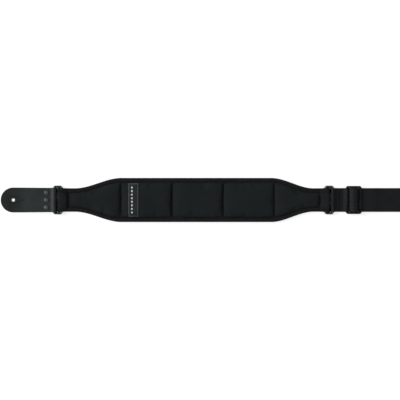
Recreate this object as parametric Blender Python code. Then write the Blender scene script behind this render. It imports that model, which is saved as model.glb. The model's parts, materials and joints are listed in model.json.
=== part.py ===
"""A padded shoulder strap for a guitar or bass, laid straight along X with the wearer's side down.

Metres, +Z up, with the floor at Z = 0. The chain from left to right is: end tab, ring, quilted pad, ring,
webbing through a slider, ring, end tab. Every piece that turns has its origin on the bar it turns about.
"""

import math

import bmesh
import bpy

MM = 0.001

# Strap and its hardware
GAP = 0.3 * MM
STRAP_WIDTH = 51.2 * MM
TAB_MARGIN = 1.0 * MM
TAB_RING_WIDTH = STRAP_WIDTH + TAB_MARGIN
SIDE_PLAY = 0.8 * MM
RING_OPENING = TAB_RING_WIDTH + 2 * SIDE_PLAY
BAR_DIAMETER = 4.2 * MM
RING_PITCH = 15.8 * MM
RING_CORNER = 3.0 * MM
LOOP_GAP = 2.0 * MM
SLIDER_SIDE_BAR = 4.6 * MM
SLIDER_MIDDLE_BAR = 9.0 * MM
SLIDER_SLOT = 7.9 * MM
SLIDER_SLOT_CORNER = 1.2 * MM
SLIDER_LENGTH = SLIDER_MIDDLE_BAR + 2 * SLIDER_SLOT + 2 * SLIDER_SIDE_BAR
SLIDER_OPENING = STRAP_WIDTH + 2 * SIDE_PLAY
SLIDER_END_BAR = 3.8 * MM
SLIDER_WIDTH = SLIDER_OPENING + 2 * SLIDER_END_BAR
SLIDER_THICKNESS = 3.0 * MM
SLIDER_CORNER = 5.0 * MM
SLIDER_ROUNDING = 1.0 * MM

# Leather end tabs
LEATHER = 2.6 * MM
TAB_REACH = 115.3 * MM
TAB_FLARE = 1.3 * MM
TAB_TIP_WIDTH = TAB_RING_WIDTH + TAB_FLARE
TAB_TIP_FLAT = 3.0 * MM
TAB_DROP = 33.0 * MM
BUTTON_HOLE = 8.0 * MM
BUTTON_HOLE_FROM_TIP = 26.8 * MM
SLIT_LENGTH = 13.0 * MM
SLIT_WIDTH = 0.6 * MM

# Rivets
RIVET_FROM_BAR = 16.8 * MM
RIVET_FROM_EDGE = 10.1 * MM
RIVET_PITCH = TAB_RING_WIDTH / 2 - RIVET_FROM_EDGE
RIVET_CAP = 9.6 * MM
RIVET_RIM = 0.5 * MM
RIVET_DOME = 2.2 * MM
RIVET_BACK = 0.9 * MM
RIVET_BACK_ROUNDING = 0.4 * MM
RIVET_POST = 2.4 * MM
RIVET_SOCKET_WALL = 0.5 * MM
RIVET_MARGIN = 1.0 * MM
LEAF_PAST_RIVETS = 10.2 * MM

# Quilted pad
COVER = 1.6 * MM
PAD_WIDTH = 95.0 * MM
TAIL_NARROWING = 0.6 * MM
TAIL_WIDTH = STRAP_WIDTH - TAIL_NARROWING
PANEL = 110.0 * MM
PANEL_COUNT = 3
LEFT_TAPER = 116.0 * MM
LEFT_NECK = 17.0 * MM
RIGHT_TAPER = 97.0 * MM
RIGHT_NECK = 14.0 * MM
RIGHT_SHOULDER = 7.0 * MM
CROWN = 5.4 * MM
BACK_CROWN = 1.2 * MM
CROWN_RUN = 13.0 * MM
FOAM_INSET = 4.0 * MM
FOAM_GAP = 0.5 * MM
TAIL_LOOP = 12.4 * MM
TAIL_HEM = 3.0 * MM
BACK_FROM_HEM = 1.0 * MM

# Binding and patch
BINDING = 0.9 * MM
BINDING_WIDTH = 9.6 * MM
BINDING_FOLD = 1.4 * MM
BINDING_FROM_SEAM = 5.0 * MM
LABEL = 0.6 * MM
LABEL_FROM_SEAM = 15.5 * MM
LABEL_FROM_BINDING = 2.3 * MM
LABEL_WIDTH = 22.0 * MM
LABEL_LENGTH = PAD_WIDTH - 2 * BINDING_WIDTH - 2 * LABEL_FROM_BINDING

# Webbing
WEBBING = 1.6 * MM
SEWN_END = 22.0 * MM
SEWN_SLOPE = 9.0 * MM
SEWN_MARGIN = 3.0 * MM
SLOT_BEND = 3.0 * MM
WRAP_CORNER = 1.8 * MM
RING_TO_SLIDER = 44.5 * MM
SLIDER_TO_FAR_RING = 291.0 * MM
RETURN_SEWN_END = 25.0 * MM
RETURN_MARGIN = 5.0 * MM
RUN_SLOPE = 18.0 * MM
FAR_TURN = 24.0 * MM

# Levels
BAR = BAR_DIAMETER / 2
TAB_LOOP = BAR + GAP + LEATHER
PAD_LOOP = BAR + GAP + COVER
WEBBING_LOOP = BAR + GAP + WEBBING
LEFT_SLACK = RING_PITCH - TAB_LOOP - PAD_LOOP - LOOP_GAP
RIGHT_SLACK = RING_PITCH - WEBBING_LOOP - PAD_LOOP - LOOP_GAP
TAB_RING_Z = LEATHER + GAP + BAR
PAD_RING_Z = max(COVER, WEBBING) + GAP + BAR
EDGE_BACK_Z = BINDING + GAP + COVER / 2
EDGE_FACE_Z = EDGE_BACK_Z + COVER + GAP
EDGE_TOP_Z = EDGE_FACE_Z + COVER / 2 + GAP + BINDING
RUN_Z = [WEBBING / 2 + level * (WEBBING + GAP) for level in range(3)]
SLIDER_BOTTOM_Z = RUN_Z[2] + WEBBING / 2 + GAP
SLIDER_TOP_Z = SLIDER_BOTTOM_Z + SLIDER_THICKNESS

# Stations along X, measured from the left tip and then centred
LEFT_BAR_X = TAB_REACH
PAD_LEFT_BAR_X = LEFT_BAR_X + RING_PITCH
LEFT_SEAM_X = PAD_LEFT_BAR_X + TAIL_LOOP
FIRST_CHANNEL_X = LEFT_SEAM_X + LEFT_TAPER
LAST_CHANNEL_X = FIRST_CHANNEL_X + PANEL * PANEL_COUNT
RIGHT_SEAM_X = LAST_CHANNEL_X + RIGHT_TAPER
PAD_RIGHT_BAR_X = RIGHT_SEAM_X + TAIL_LOOP
WEBBING_BAR_X = PAD_RIGHT_BAR_X + RING_PITCH
SLIDER_X = WEBBING_BAR_X + RING_TO_SLIDER
FAR_BAR_X = SLIDER_X + SLIDER_TO_FAR_RING
FAR_TAB_BAR_X = FAR_BAR_X + RING_PITCH
MIDDLE_X = (FAR_TAB_BAR_X + TAB_REACH) / 2
CHANNELS = [FIRST_CHANNEL_X + PANEL * k for k in range(PANEL_COUNT + 1)]
SEAMS = [LEFT_SEAM_X] + CHANNELS + [RIGHT_SEAM_X]

# Fractions across the pad between its bindings, and along a panel between its seams
ACROSS = [-1.0, -0.91, -0.75, -0.45, 0.0, 0.45, 0.75, 0.91, 1.0]
ALONG = [0.0, 0.03, 0.08, 0.2, 0.5, 0.8, 0.92, 0.97]
ALONG_TAPER = sorted(ALONG + [0.14, 0.3, 0.4, 0.6, 0.7, 0.86])
FOAM_ACROSS = [-1.0, -0.8, -0.5, 0.0, 0.5, 0.8, 1.0]
FOAM_ALONG = [0.0, 0.05, 0.12, 0.25, 0.4, 0.6, 0.75, 0.88, 0.95, 1.0]
LABEL_ACROSS = [-1.0, -0.9, -0.75, -0.5, 0.0, 0.5, 0.75, 0.9, 1.0]
MERGE = 0.02 * MM
TURN_STEPS = 8
TIP_STEPS = 9
DOME_STEPS = 5
EDGE_STEPS = 2
SLIDER_CORNER_STEPS = 4
SPIN_STEPS = 16
SMOOTH_ANGLE = math.radians(40)


def smooth(t):
    """0 to 1 with level ends."""
    t = min(max(t, 0.0), 1.0)
    return t * t * (3 - 2 * t)


def mix(a, b, t):
    return a + (b - a) * t


def ramp(x0, z0, x1, z1, steps=6):
    """Points of an S-shaped change of level from (x0, z0) to (x1, z1)."""
    return [(mix(x0, x1, k / steps), mix(z0, z1, smooth(k / steps))) for k in range(steps + 1)]


def turn(x, z, radius, start, end, steps=TURN_STEPS):
    """Points round (x, z), with angles in degrees."""
    angles = [math.radians(mix(start, end, k / steps)) for k in range(steps + 1)]
    return [(x + radius * math.cos(a), z + radius * math.sin(a)) for a in angles]


def path(*runs):
    """One list of points from several, without points that coincide."""
    points = []
    for run in runs:
        for p in run:
            if not points or math.dist(points[-1], p) > MERGE:
                points.append(p)
    return points


def finish(name, colour, roughness, metallic=0.0):
    made = bpy.data.materials.new(name)
    made.use_nodes = True
    shader = made.node_tree.nodes["Principled BSDF"]
    shader.inputs["Base Color"].default_value = (*colour, 1.0)
    shader.inputs["Roughness"].default_value = roughness
    shader.inputs["Metallic"].default_value = metallic
    return made


def add(name, data, material, parent=None):
    made = bpy.data.objects.new(name, data)
    bpy.context.scene.collection.objects.link(made)
    data.materials.append(material)
    made.parent = parent
    return made


def from_bmesh(name, mesh, material, parent=None):
    bmesh.ops.recalc_face_normals(mesh, faces=mesh.faces)
    data = bpy.data.meshes.new(name)
    mesh.to_mesh(data)
    mesh.free()
    data.shade_smooth()
    data.set_sharp_from_angle(angle=SMOOTH_ANGLE)
    return add(name, data, material, parent)


def pivot(name, x, z, angle=0.0):
    """An empty on the axis that a piece turns about."""
    made = bpy.data.objects.new(name, None)
    bpy.context.scene.collection.objects.link(made)
    made.location = (x, 0.0, z)
    made.rotation_euler = (0.0, 0.0, angle)
    return made


def grid(rows, columns, place):
    """A bmesh grid whose vertex in a row and column stands at place(row, column)."""
    mesh = bmesh.new()
    bmesh.ops.create_grid(mesh, x_segments=rows - 1, y_segments=columns - 1, size=1.0)
    for vert in mesh.verts:
        row = round((vert.co.x + 1) / 2 * (rows - 1))
        column = round((vert.co.y + 1) / 2 * (columns - 1))
        vert.co = place(row, column)
    return mesh


def thicken(made, thickness):
    shell = made.modifiers.new("thickness", "SOLIDIFY")
    shell.thickness = thickness
    shell.offset = 0.0
    shell.use_even_offset = True


def ribbon(name, points, half_width, thickness, material, parent=None, origin=(0.0, 0.0)):
    """A strip along points in XZ, half_width(x) wide to each side, with its origin where it turns."""
    at_x, at_z = origin

    def place(row, column):
        x, z = points[row]
        side = -1 if column == 0 else 1
        return (x - at_x, side * half_width(x), z - at_z)

    made = from_bmesh(name, grid(len(points), 2, place), material, parent)
    made.location = (at_x, 0.0, at_z)
    thicken(made, thickness)
    return made


def cut(made, cutter):
    """Subtract cutter from made, and keep it out of the part."""
    cutter.hide_render = True
    cutter.display_type = "WIRE"
    cutter.parent = made.parent
    difference = made.modifiers.new(cutter.name, "BOOLEAN")
    difference.operation = "DIFFERENCE"
    difference.object = cutter


def rounded_rectangle(length, width, radius, steps=5):
    """Corner points of a rectangle with round corners, anticlockwise and centred."""
    corners = [(1, 1, 0), (-1, 1, 90), (-1, -1, 180), (1, -1, 270)]
    outline = []
    for sx, sy, start in corners:
        x = sx * (length / 2 - radius)
        y = sy * (width / 2 - radius)
        outline += turn(x, y, radius, start, start + 90, steps)
    return outline


def prism(outline, bottom, top):
    """A bmesh solid from a flat outline."""
    mesh = bmesh.new()
    rim = [mesh.verts.new((x, y, bottom)) for x, y in outline]
    base = bmesh.ops.contextual_create(mesh, geom=rim)["faces"]
    made = bmesh.ops.extrude_face_region(mesh, geom=base, use_keep_orig=True)
    raised = [v for v in made["geom"] if isinstance(v, bmesh.types.BMVert)]
    bmesh.ops.translate(mesh, verts=raised, vec=(0.0, 0.0, top - bottom))
    return mesh


def turned(name, profile, material, parent):
    """A profile of (radius, z) points, from axis to axis, spun about Z."""
    mesh = bmesh.new()
    rim = [mesh.verts.new((r, 0.0, z)) for r, z in profile]
    edges = [mesh.edges.new(pair) for pair in zip(rim, rim[1:])]
    bmesh.ops.spin(
        mesh,
        geom=rim + edges,
        axis=(0, 0, 1),
        cent=(0, 0, 0),
        angle=2 * math.pi,
        steps=SPIN_STEPS,
        use_merge=True,
    )
    bmesh.ops.remove_doubles(mesh, verts=mesh.verts, dist=MERGE)
    return from_bmesh(name, mesh, material, parent)


def ring(name, material, x, z, to_other_bar):
    """A wire rectangle with its origin on one bar and its other bar at to_other_bar along X."""
    data = bpy.data.curves.new(name, "CURVE")
    data.dimensions = "3D"
    data.bevel_depth = BAR
    data.bevel_resolution = 4
    outline = rounded_rectangle(RING_PITCH, RING_OPENING + BAR_DIAMETER, RING_CORNER)
    wire = data.splines.new("POLY")
    wire.points.add(len(outline) - 1)
    for point, (px, py) in zip(wire.points, outline):
        point.co = (px + to_other_bar / 2, py, 0.0, 1.0)
    wire.use_cyclic_u = True
    made = add(name, data, material)
    made.location = (x, 0.0, z)
    return made


# Leather end tabs, built outwards along their own +X from the ring bar at their origin


def tab_half_width(x):
    """Half the tab's width, with a round tip."""
    radius = TAB_TIP_WIDTH / 2
    tip_from = TAB_REACH - radius
    if x <= tip_from:
        return mix(TAB_RING_WIDTH, TAB_TIP_WIDTH, smooth(x / tip_from)) / 2
    return math.sqrt(max(radius**2 - (x - tip_from) ** 2, (TAB_TIP_FLAT / 2) ** 2))


def tab_levels():
    """Heights over the ring bar: the floor, and the middles of the lower and upper leaf."""
    floor = -TAB_RING_Z
    lower = floor + RIVET_BACK + GAP + LEATHER / 2
    return floor, lower, lower + LEATHER + GAP


def tab_path():
    """The leather's middle line: short leaf, loop round the bar, long leaf and tip."""
    floor, lower, upper = tab_levels()
    loop = TAB_LOOP - LEATHER / 2
    rivets_from = RIVET_FROM_BAR - RIVET_CAP / 2 - RIVET_MARGIN
    leaf_end = RIVET_FROM_BAR + LEAF_PAST_RIVETS
    tip_radius = TAB_TIP_WIDTH / 2
    tip_angles = [math.radians(90 * k / TIP_STEPS) for k in range(TIP_STEPS + 1)]
    lying = floor + LEATHER / 2
    return path(
        [(leaf_end, lower)],
        ramp(rivets_from, lower, 0.0, -loop),
        turn(0.0, 0.0, loop, 270, 90),
        ramp(0.0, loop, rivets_from, upper),
        ramp(leaf_end, upper, leaf_end + TAB_DROP, lying),
        [(TAB_REACH - tip_radius + tip_radius * math.sin(a), lying) for a in tip_angles],
    )


def keyhole():
    """Outline of the button hole with its slit towards the ring."""
    hole_x = TAB_REACH - BUTTON_HOLE_FROM_TIP
    radius = BUTTON_HOLE / 2
    mouth = math.degrees(math.asin(SLIT_WIDTH / 2 / radius))
    slit_end = hole_x - radius - SLIT_LENGTH
    slit = [(slit_end, SLIT_WIDTH / 2), (slit_end, -SLIT_WIDTH / 2)]
    return turn(hole_x, 0.0, radius, 180 + mouth, 540 - mouth, 20) + slit


def rivet(side, number, y, axis, steel):
    """A domed cap on a post, and a back whose socket the post goes into."""
    floor, _, upper = tab_levels()
    seat = pivot(f"{side}_rivet_{number}_seat", RIVET_FROM_BAR, 0.0)
    seat.location.y = y
    seat.parent = axis
    cap = RIVET_CAP / 2
    post = RIVET_POST / 2
    inner = post + GAP
    socket = inner + RIVET_SOCKET_WALL
    cap_z = upper + LEATHER / 2 + GAP
    back_z = floor + RIVET_BACK
    socket_z = upper + LEATHER / 2 - GAP
    post_z = back_z + GAP
    angles = [math.radians(90 * k / DOME_STEPS) for k in range(DOME_STEPS)]
    height = RIVET_DOME - RIVET_RIM
    dome = [(cap * math.cos(a), cap_z + RIVET_RIM + height * math.sin(a)) for a in angles]
    shank = [(0.0, post_z), (post, post_z), (post, cap_z), (cap, cap_z)]
    turned(f"{side}_rivet_cap_{number}", shank + dome + [(0.0, cap_z + RIVET_DOME)], steel, seat)
    rounding = RIVET_BACK_ROUNDING
    rim = cap - rounding
    flange = [(0.0, floor), (rim - rounding, floor), (rim, floor + rounding), (rim, back_z)]
    collar = [(socket, back_z), (socket, socket_z), (inner, socket_z), (inner, back_z), (0.0, back_z)]
    turned(f"{side}_rivet_back_{number}", flange + collar, steel, seat)
    return turn(RIVET_FROM_BAR, y, socket + GAP, 0, 345, 15)


def end_tab(side, bar_x, angle, leather, steel):
    axis = pivot(side + "_tab_axis", bar_x, TAB_RING_Z, angle)
    made = ribbon(side + "_end_tab", tab_path(), tab_half_width, LEATHER, leather, axis)
    cuts = {f"{side}_keyhole_cut": keyhole()}
    for number, row in enumerate((-1, 0, 1), start=1):
        cuts[f"{side}_rivet_cut_{number}"] = rivet(side, number, row * RIVET_PITCH, axis, steel)
    for name, outline in cuts.items():
        cut(made, from_bmesh(name, prism(outline, -2 * TAB_RING_Z, 2 * TAB_RING_Z), leather))


# Quilted pad


def pad_half_width(x):
    """Half the pad's width over its bindings, with an S-shaped taper at each end."""
    left = (x - LEFT_SEAM_X - LEFT_NECK) / (LEFT_TAPER - LEFT_NECK)
    right = (RIGHT_SEAM_X - RIGHT_NECK - x) / (RIGHT_TAPER - RIGHT_NECK + RIGHT_SHOULDER)
    return mix(TAIL_WIDTH, PAD_WIDTH, smooth(left) * smooth(right)) / 2


def rise(distance):
    """How far a stuffed panel has risen at a distance from its seam, from 0 to 1."""
    return math.sin(math.pi / 2 * min(max(distance / CROWN_RUN, 0.0), 1.0))


def crown(x, y):
    from_seam = min(abs(x - seam) for seam in SEAMS)
    from_binding = pad_half_width(x) - BINDING_WIDTH - abs(y)
    if x < LEFT_SEAM_X or x > RIGHT_SEAM_X:
        return 0.0
    return rise(from_seam) * rise(from_binding)


def face_z(x, y):
    return EDGE_FACE_Z + CROWN * crown(x, y)


def back_z(x, y):
    return EDGE_BACK_Z - BACK_CROWN * crown(x, y)


def pad_stations():
    """X of the rows of the covers, close together beside the seams."""
    stations = []
    for start, end in zip(SEAMS, SEAMS[1:]):
        tapered = start == LEFT_SEAM_X or end == RIGHT_SEAM_X
        stations += [mix(start, end, t) for t in (ALONG_TAPER if tapered else ALONG)]
    return stations + [SEAMS[-1]]


def cover_half_width(x):
    return pad_half_width(x) - BINDING - GAP


def across(x, column):
    """Y of a cover's column: its two edges, and the fractions between its bindings."""
    if column in (0, len(ACROSS) + 1):
        return cover_half_width(x) * (-1 if column == 0 else 1)
    return ACROSS[column - 1] * (pad_half_width(x) - BINDING_WIDTH)


def tail(bar_x, bar_z, seam_x, slack, outward):
    """Points of a tail from the seam over a ring bar and back below to its sewn end."""
    loop = PAD_LOOP - COVER / 2
    end_x = bar_x + outward * slack
    over = ramp(seam_x, EDGE_FACE_Z, bar_x, bar_z + loop, 5)
    round_bar = turn(end_x, bar_z, loop, 90, 90 - outward * 180)
    under = ramp(bar_x, bar_z - loop, seam_x, EDGE_BACK_Z, 2)
    return path(over, round_bar, under, [(seam_x - outward * TAIL_HEM, EDGE_BACK_Z)])


def face_cover(fabric):
    left = tail(PAD_LEFT_BAR_X, TAB_RING_Z, LEFT_SEAM_X, LEFT_SLACK, -1)
    right = tail(PAD_RIGHT_BAR_X, PAD_RING_Z, RIGHT_SEAM_X, RIGHT_SLACK, 1)
    middle = [(x, None) for x in pad_stations()]
    rows = left[:0:-1] + middle + right[1:]

    def place(row, column):
        x, z = rows[row]
        y = across(x, column)
        return (x, y, face_z(x, y) if z is None else z)

    made = from_bmesh("pad_face_cover", grid(len(rows), len(ACROSS) + 2, place), fabric)
    thicken(made, COVER)


def back_cover(fabric):
    rows = [x for x in pad_stations() if LEFT_SEAM_X < x < RIGHT_SEAM_X]
    rows[0] = LEFT_SEAM_X + TAIL_HEM + BACK_FROM_HEM
    rows[-1] = RIGHT_SEAM_X - TAIL_HEM - BACK_FROM_HEM

    def place(row, column):
        y = across(rows[row], column)
        return (rows[row], y, back_z(rows[row], y))

    made = from_bmesh("pad_back_cover", grid(len(rows), len(ACROSS) + 2, place), fabric)
    thicken(made, COVER)


def foam_panel(number, start, end, foam):
    first = start + FOAM_INSET
    last = end - FOAM_INSET
    rows = [mix(first, last, t) for t in FOAM_ALONG]
    clearance = COVER / 2 + FOAM_GAP

    def place(row, column):
        x = rows[row]
        y = FOAM_ACROSS[column] * (pad_half_width(x) - BINDING_WIDTH - FOAM_INSET)
        return (x, y, face_z(x, y) - clearance)

    mesh = grid(len(rows), len(FOAM_ACROSS), place)
    made = bmesh.ops.extrude_face_region(mesh, geom=mesh.faces[:], use_keep_orig=True)
    for vert in made["geom"]:
        if isinstance(vert, bmesh.types.BMVert):
            vert.co.z = back_z(vert.co.x, vert.co.y) + clearance
    from_bmesh(f"pad_foam_{number}", mesh, foam)


def binding(name, side, fabric):
    """A folded tape round both covers' edges."""
    shares = [k / 12 for k in range(13)]
    rows = [mix(LEFT_SEAM_X + BINDING_FROM_SEAM, FIRST_CHANNEL_X, t) for t in shares]
    rows += [mix(LAST_CHANNEL_X - RIGHT_SHOULDER, RIGHT_SEAM_X - BINDING_FROM_SEAM, t) for t in shares]
    top = EDGE_TOP_Z
    outside = [
        (BINDING_WIDTH, 0.0),
        (BINDING_FOLD, 0.0),
        (0.0, BINDING_FOLD),
        (0.0, top - BINDING_FOLD),
        (BINDING_FOLD, top),
        (BINDING_WIDTH, top),
    ]
    inside = [
        (BINDING_WIDTH, top - BINDING),
        (BINDING, top - BINDING),
        (BINDING, BINDING),
        (BINDING_WIDTH, BINDING),
    ]
    section = outside + inside
    mesh = bmesh.new()
    loops = []
    for x in rows:
        verts = [mesh.verts.new((x, side * (pad_half_width(x) - inset), z)) for inset, z in section]
        loops.append([mesh.edges.new((a, b)) for a, b in zip(verts, verts[1:] + verts[:1])])
    for here, following in zip(loops, loops[1:]):
        bmesh.ops.bridge_loops(mesh, edges=here + following)
    for cap in (loops[0], loops[-1]):
        bmesh.ops.contextual_create(mesh, geom=cap)
    from_bmesh(name, mesh, fabric)


def label(fabric):
    rows = [FIRST_CHANNEL_X + LABEL_FROM_SEAM + LABEL_WIDTH * k / 3 for k in range(4)]
    columns = [LABEL_LENGTH / 2 * share for share in LABEL_ACROSS]
    lift = COVER / 2 + GAP + LABEL / 2

    def place(row, column):
        x, y = rows[row], columns[column]
        return (x, y, face_z(x, y) + lift)

    made = from_bmesh("pad_label", grid(len(rows), len(columns), place), fabric)
    thicken(made, LABEL)


# Slider and webbing


def slider(steel):
    """A plate with two slots and all its edges rounded."""
    half = SLIDER_THICKNESS / 2
    centre = (SLIDER_MIDDLE_BAR + SLIDER_SLOT) / 2
    edge = turn(SLIDER_ROUNDING, half - SLIDER_ROUNDING, SLIDER_ROUNDING, 180, 90, EDGE_STEPS)
    section = [(inset, -z) for inset, z in reversed(edge)] + edge
    outlines = [(0.0, SLIDER_LENGTH, SLIDER_WIDTH, SLIDER_CORNER, -1)]
    outlines += [(x, SLIDER_SLOT, SLIDER_OPENING, SLIDER_SLOT_CORNER, 1) for x in (-centre, centre)]
    mesh = bmesh.new()
    bottom = []
    top = []
    for middle, length, width, corner, outward in outlines:
        loops = []
        for inset, z in section:
            grow = outward * inset
            rim = rounded_rectangle(length + 2 * grow, width + 2 * grow, corner + grow, SLIDER_CORNER_STEPS)
            verts = [mesh.verts.new((middle + x, y, z)) for x, y in rim]
            loops.append([mesh.edges.new((a, b)) for a, b in zip(verts, verts[1:] + verts[:1])])
        for here, following in zip(loops, loops[1:]):
            bmesh.ops.bridge_loops(mesh, edges=here + following)
        bottom += loops[0]
        top += loops[-1]
    for face in (bottom, top):
        bmesh.ops.triangle_fill(mesh, edges=face, use_beauty=True)
    made = from_bmesh("slider", mesh, steel)
    made.location = (SLIDER_X, 0.0, SLIDER_BOTTOM_Z + half)


def webbing_half_width(x):
    return STRAP_WIDTH / 2


def sewn_end_path():
    """From the end sewn below, round the right ring and up to the slider's near bar."""
    loop = WEBBING_LOOP - WEBBING / 2
    sewn_x = WEBBING_BAR_X + SEWN_END
    under_bar = SLIDER_X - SLIDER_LENGTH / 2
    return path(
        [(sewn_x, RUN_Z[0])],
        turn(WEBBING_BAR_X, PAD_RING_Z, loop, 270, 90),
        ramp(WEBBING_BAR_X, PAD_RING_Z + loop, WEBBING_BAR_X + SEWN_SLOPE, RUN_Z[1]),
        ramp(sewn_x - SEWN_MARGIN, RUN_Z[1], under_bar, RUN_Z[2]),
        [(under_bar + SLIDER_SIDE_BAR / 2 - GAP, RUN_Z[2])],
    )


def slot_arch(half_width, top, foot_z, corner, foot_x):
    """Up through one slot, over the middle bar and down through the other."""
    bend_x = half_width + SLOT_BEND
    bend_z = foot_z + SLOT_BEND
    return path(
        [(SLIDER_X - foot_x, foot_z)],
        turn(SLIDER_X - bend_x, bend_z, SLOT_BEND, 270, 360, 5),
        turn(SLIDER_X - half_width + corner, top - corner, corner, 180, 90, 5),
        turn(SLIDER_X + half_width - corner, top - corner, corner, 90, 0, 5),
        turn(SLIDER_X + bend_x, bend_z, SLOT_BEND, 180, 270, 5),
        [(SLIDER_X + foot_x, foot_z)],
    )


def webbing(fabric):
    """One strip of webbing, cut where it passes under the slider's bars and at its far turn."""
    layer = WEBBING + GAP
    wrap = SLIDER_MIDDLE_BAR / 2 + GAP + WEBBING / 2
    wrap_top = SLIDER_TOP_Z + GAP + WEBBING / 2
    bar_middle = (SLIDER_LENGTH - SLIDER_SIDE_BAR) / 2
    sewn_x = SLIDER_X + SLIDER_LENGTH / 2 + RETURN_SEWN_END
    return_x = sewn_x + RETURN_MARGIN
    turn_x = FAR_BAR_X - FAR_TURN
    loop = WEBBING_LOOP - WEBBING / 2

    over_slider = slot_arch(wrap + layer, wrap_top + layer, RUN_Z[2], WRAP_CORNER + layer, bar_middle)
    return_end = path(
        [(sewn_x, RUN_Z[1])],
        turn(SLIDER_X + wrap + SLOT_BEND, RUN_Z[1] + SLOT_BEND, SLOT_BEND, 270, 180, 5),
        turn(SLIDER_X + wrap - WRAP_CORNER, wrap_top - WRAP_CORNER, WRAP_CORNER, 0, 90, 4),
        turn(SLIDER_X - wrap + WRAP_CORNER, wrap_top - WRAP_CORNER, WRAP_CORNER, 90, 180, 4),
        turn(SLIDER_X - wrap + SLOT_BEND, RUN_Z[0] + SLOT_BEND, SLOT_BEND, 180, 270, 5),
        [(return_x, RUN_Z[0])],
    )
    upper_run = path(
        [(SLIDER_X + bar_middle + GAP, RUN_Z[2])],
        ramp(sewn_x, RUN_Z[2], sewn_x + RUN_SLOPE, RUN_Z[1]),
        [(turn_x - GAP, RUN_Z[1])],
    )
    far_turn = path(
        ramp(turn_x, RUN_Z[1], FAR_BAR_X, TAB_RING_Z + loop),
        turn(FAR_BAR_X, TAB_RING_Z, loop, 90, -90),
        ramp(FAR_BAR_X, TAB_RING_Z - loop, turn_x, RUN_Z[0]),
    )
    return_run = [(return_x + GAP, RUN_Z[0]), (turn_x - GAP, RUN_Z[0])]

    near = (WEBBING_BAR_X, PAD_RING_Z)
    middle = (SLIDER_X, 0.0)
    far = (FAR_BAR_X, TAB_RING_Z)
    pieces = [
        ("webbing_sewn_end", sewn_end_path(), near),
        ("webbing_over_slider", over_slider, middle),
        ("webbing_return_end", return_end, middle),
        ("webbing_upper_run", upper_run, near),
        ("webbing_far_turn", far_turn, far),
        ("webbing_return_run", return_run, far),
    ]
    for name, points, origin in pieces:
        ribbon(name, points, webbing_half_width, WEBBING, fabric, origin=origin)


def main():
    for old in list(bpy.data.objects):
        bpy.data.objects.remove(old, do_unlink=True)
    leather = finish("black leather", (0.03, 0.033, 0.033), 0.5)
    fabric = finish("black woven nylon", (0.016, 0.018, 0.018), 0.8)
    tape = finish("black binding tape", (0.011, 0.012, 0.012), 0.75)
    foam = finish("grey foam", (0.2, 0.2, 0.2), 0.9)
    patch = finish("black woven patch", (0.012, 0.012, 0.013), 0.7)
    steel = finish("black nickel steel", (0.07, 0.07, 0.075), 0.3, 1.0)

    end_tab("left", LEFT_BAR_X, math.pi, leather, steel)
    ring("left_ring", steel, PAD_LEFT_BAR_X, TAB_RING_Z, -RING_PITCH)

    face_cover(fabric)
    back_cover(fabric)
    for number, (start, end) in enumerate(zip(SEAMS, SEAMS[1:]), start=1):
        foam_panel(number, start, end, foam)
    binding("binding_upper", 1, tape)
    binding("binding_lower", -1, tape)
    label(patch)

    ring("right_ring", steel, PAD_RIGHT_BAR_X, PAD_RING_Z, RING_PITCH)
    webbing(fabric)
    slider(steel)
    ring("far_ring", steel, FAR_BAR_X, TAB_RING_Z, RING_PITCH)
    end_tab("far", FAR_TAB_BAR_X, 0.0, leather, steel)

    for made in bpy.data.objects:
        if made.parent is None:
            made.location.x -= MIDDLE_X


main()
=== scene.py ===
"""Dresses a padded shoulder strap: leather tabs, wire rings, quilted pad, webbing, slider and stitching."""

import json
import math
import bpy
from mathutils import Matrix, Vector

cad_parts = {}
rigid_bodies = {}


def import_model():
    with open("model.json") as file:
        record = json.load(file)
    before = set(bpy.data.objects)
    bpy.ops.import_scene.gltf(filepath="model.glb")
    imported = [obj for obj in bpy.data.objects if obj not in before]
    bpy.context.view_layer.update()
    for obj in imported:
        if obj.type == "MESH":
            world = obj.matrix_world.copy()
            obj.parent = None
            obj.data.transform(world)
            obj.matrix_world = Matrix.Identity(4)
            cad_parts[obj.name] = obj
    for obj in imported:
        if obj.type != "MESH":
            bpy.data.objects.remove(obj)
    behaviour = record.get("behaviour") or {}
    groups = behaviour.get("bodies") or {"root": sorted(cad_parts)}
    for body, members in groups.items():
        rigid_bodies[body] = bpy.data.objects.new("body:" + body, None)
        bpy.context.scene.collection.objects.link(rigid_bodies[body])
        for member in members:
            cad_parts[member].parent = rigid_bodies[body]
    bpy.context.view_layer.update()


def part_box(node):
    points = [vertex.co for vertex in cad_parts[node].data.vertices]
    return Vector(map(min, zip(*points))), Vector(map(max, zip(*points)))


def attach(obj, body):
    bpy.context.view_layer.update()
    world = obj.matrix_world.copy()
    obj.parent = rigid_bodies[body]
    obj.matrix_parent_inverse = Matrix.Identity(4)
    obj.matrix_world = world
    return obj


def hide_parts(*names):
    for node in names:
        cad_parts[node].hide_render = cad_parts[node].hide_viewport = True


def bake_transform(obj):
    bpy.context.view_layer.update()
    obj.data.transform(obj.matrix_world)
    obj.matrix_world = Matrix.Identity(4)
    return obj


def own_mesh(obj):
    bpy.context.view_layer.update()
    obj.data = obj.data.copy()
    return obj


bl_info = {
    "name": "Padded Shoulder Strap",
    "version": (1, 0, 0),
    "blender": (4, 5, 0),
    "location": "View3D > Sidebar > Strap",
    "description": "Builds the leather, quilted pad, webbing and hardware of a padded shoulder strap",
    "category": "Object",
}

import bmesh
import bpy
from mathutils import Matrix, Vector, noise
from mathutils.bvhtree import BVHTree

for old in list(bpy.data.objects):
    bpy.data.objects.remove(old, do_unlink=True)
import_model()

MM = 0.001
SAME_POINT = 0.02 * MM
DROP_FROM = 0.1


def ring_bars(node):
    """X of a ring's two bars, its height and its wire's radius."""
    low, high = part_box(node)
    radius = (high.z - low.z) / 2
    return low.x + radius, high.x - radius, (low.z + high.z) / 2, radius


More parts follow.
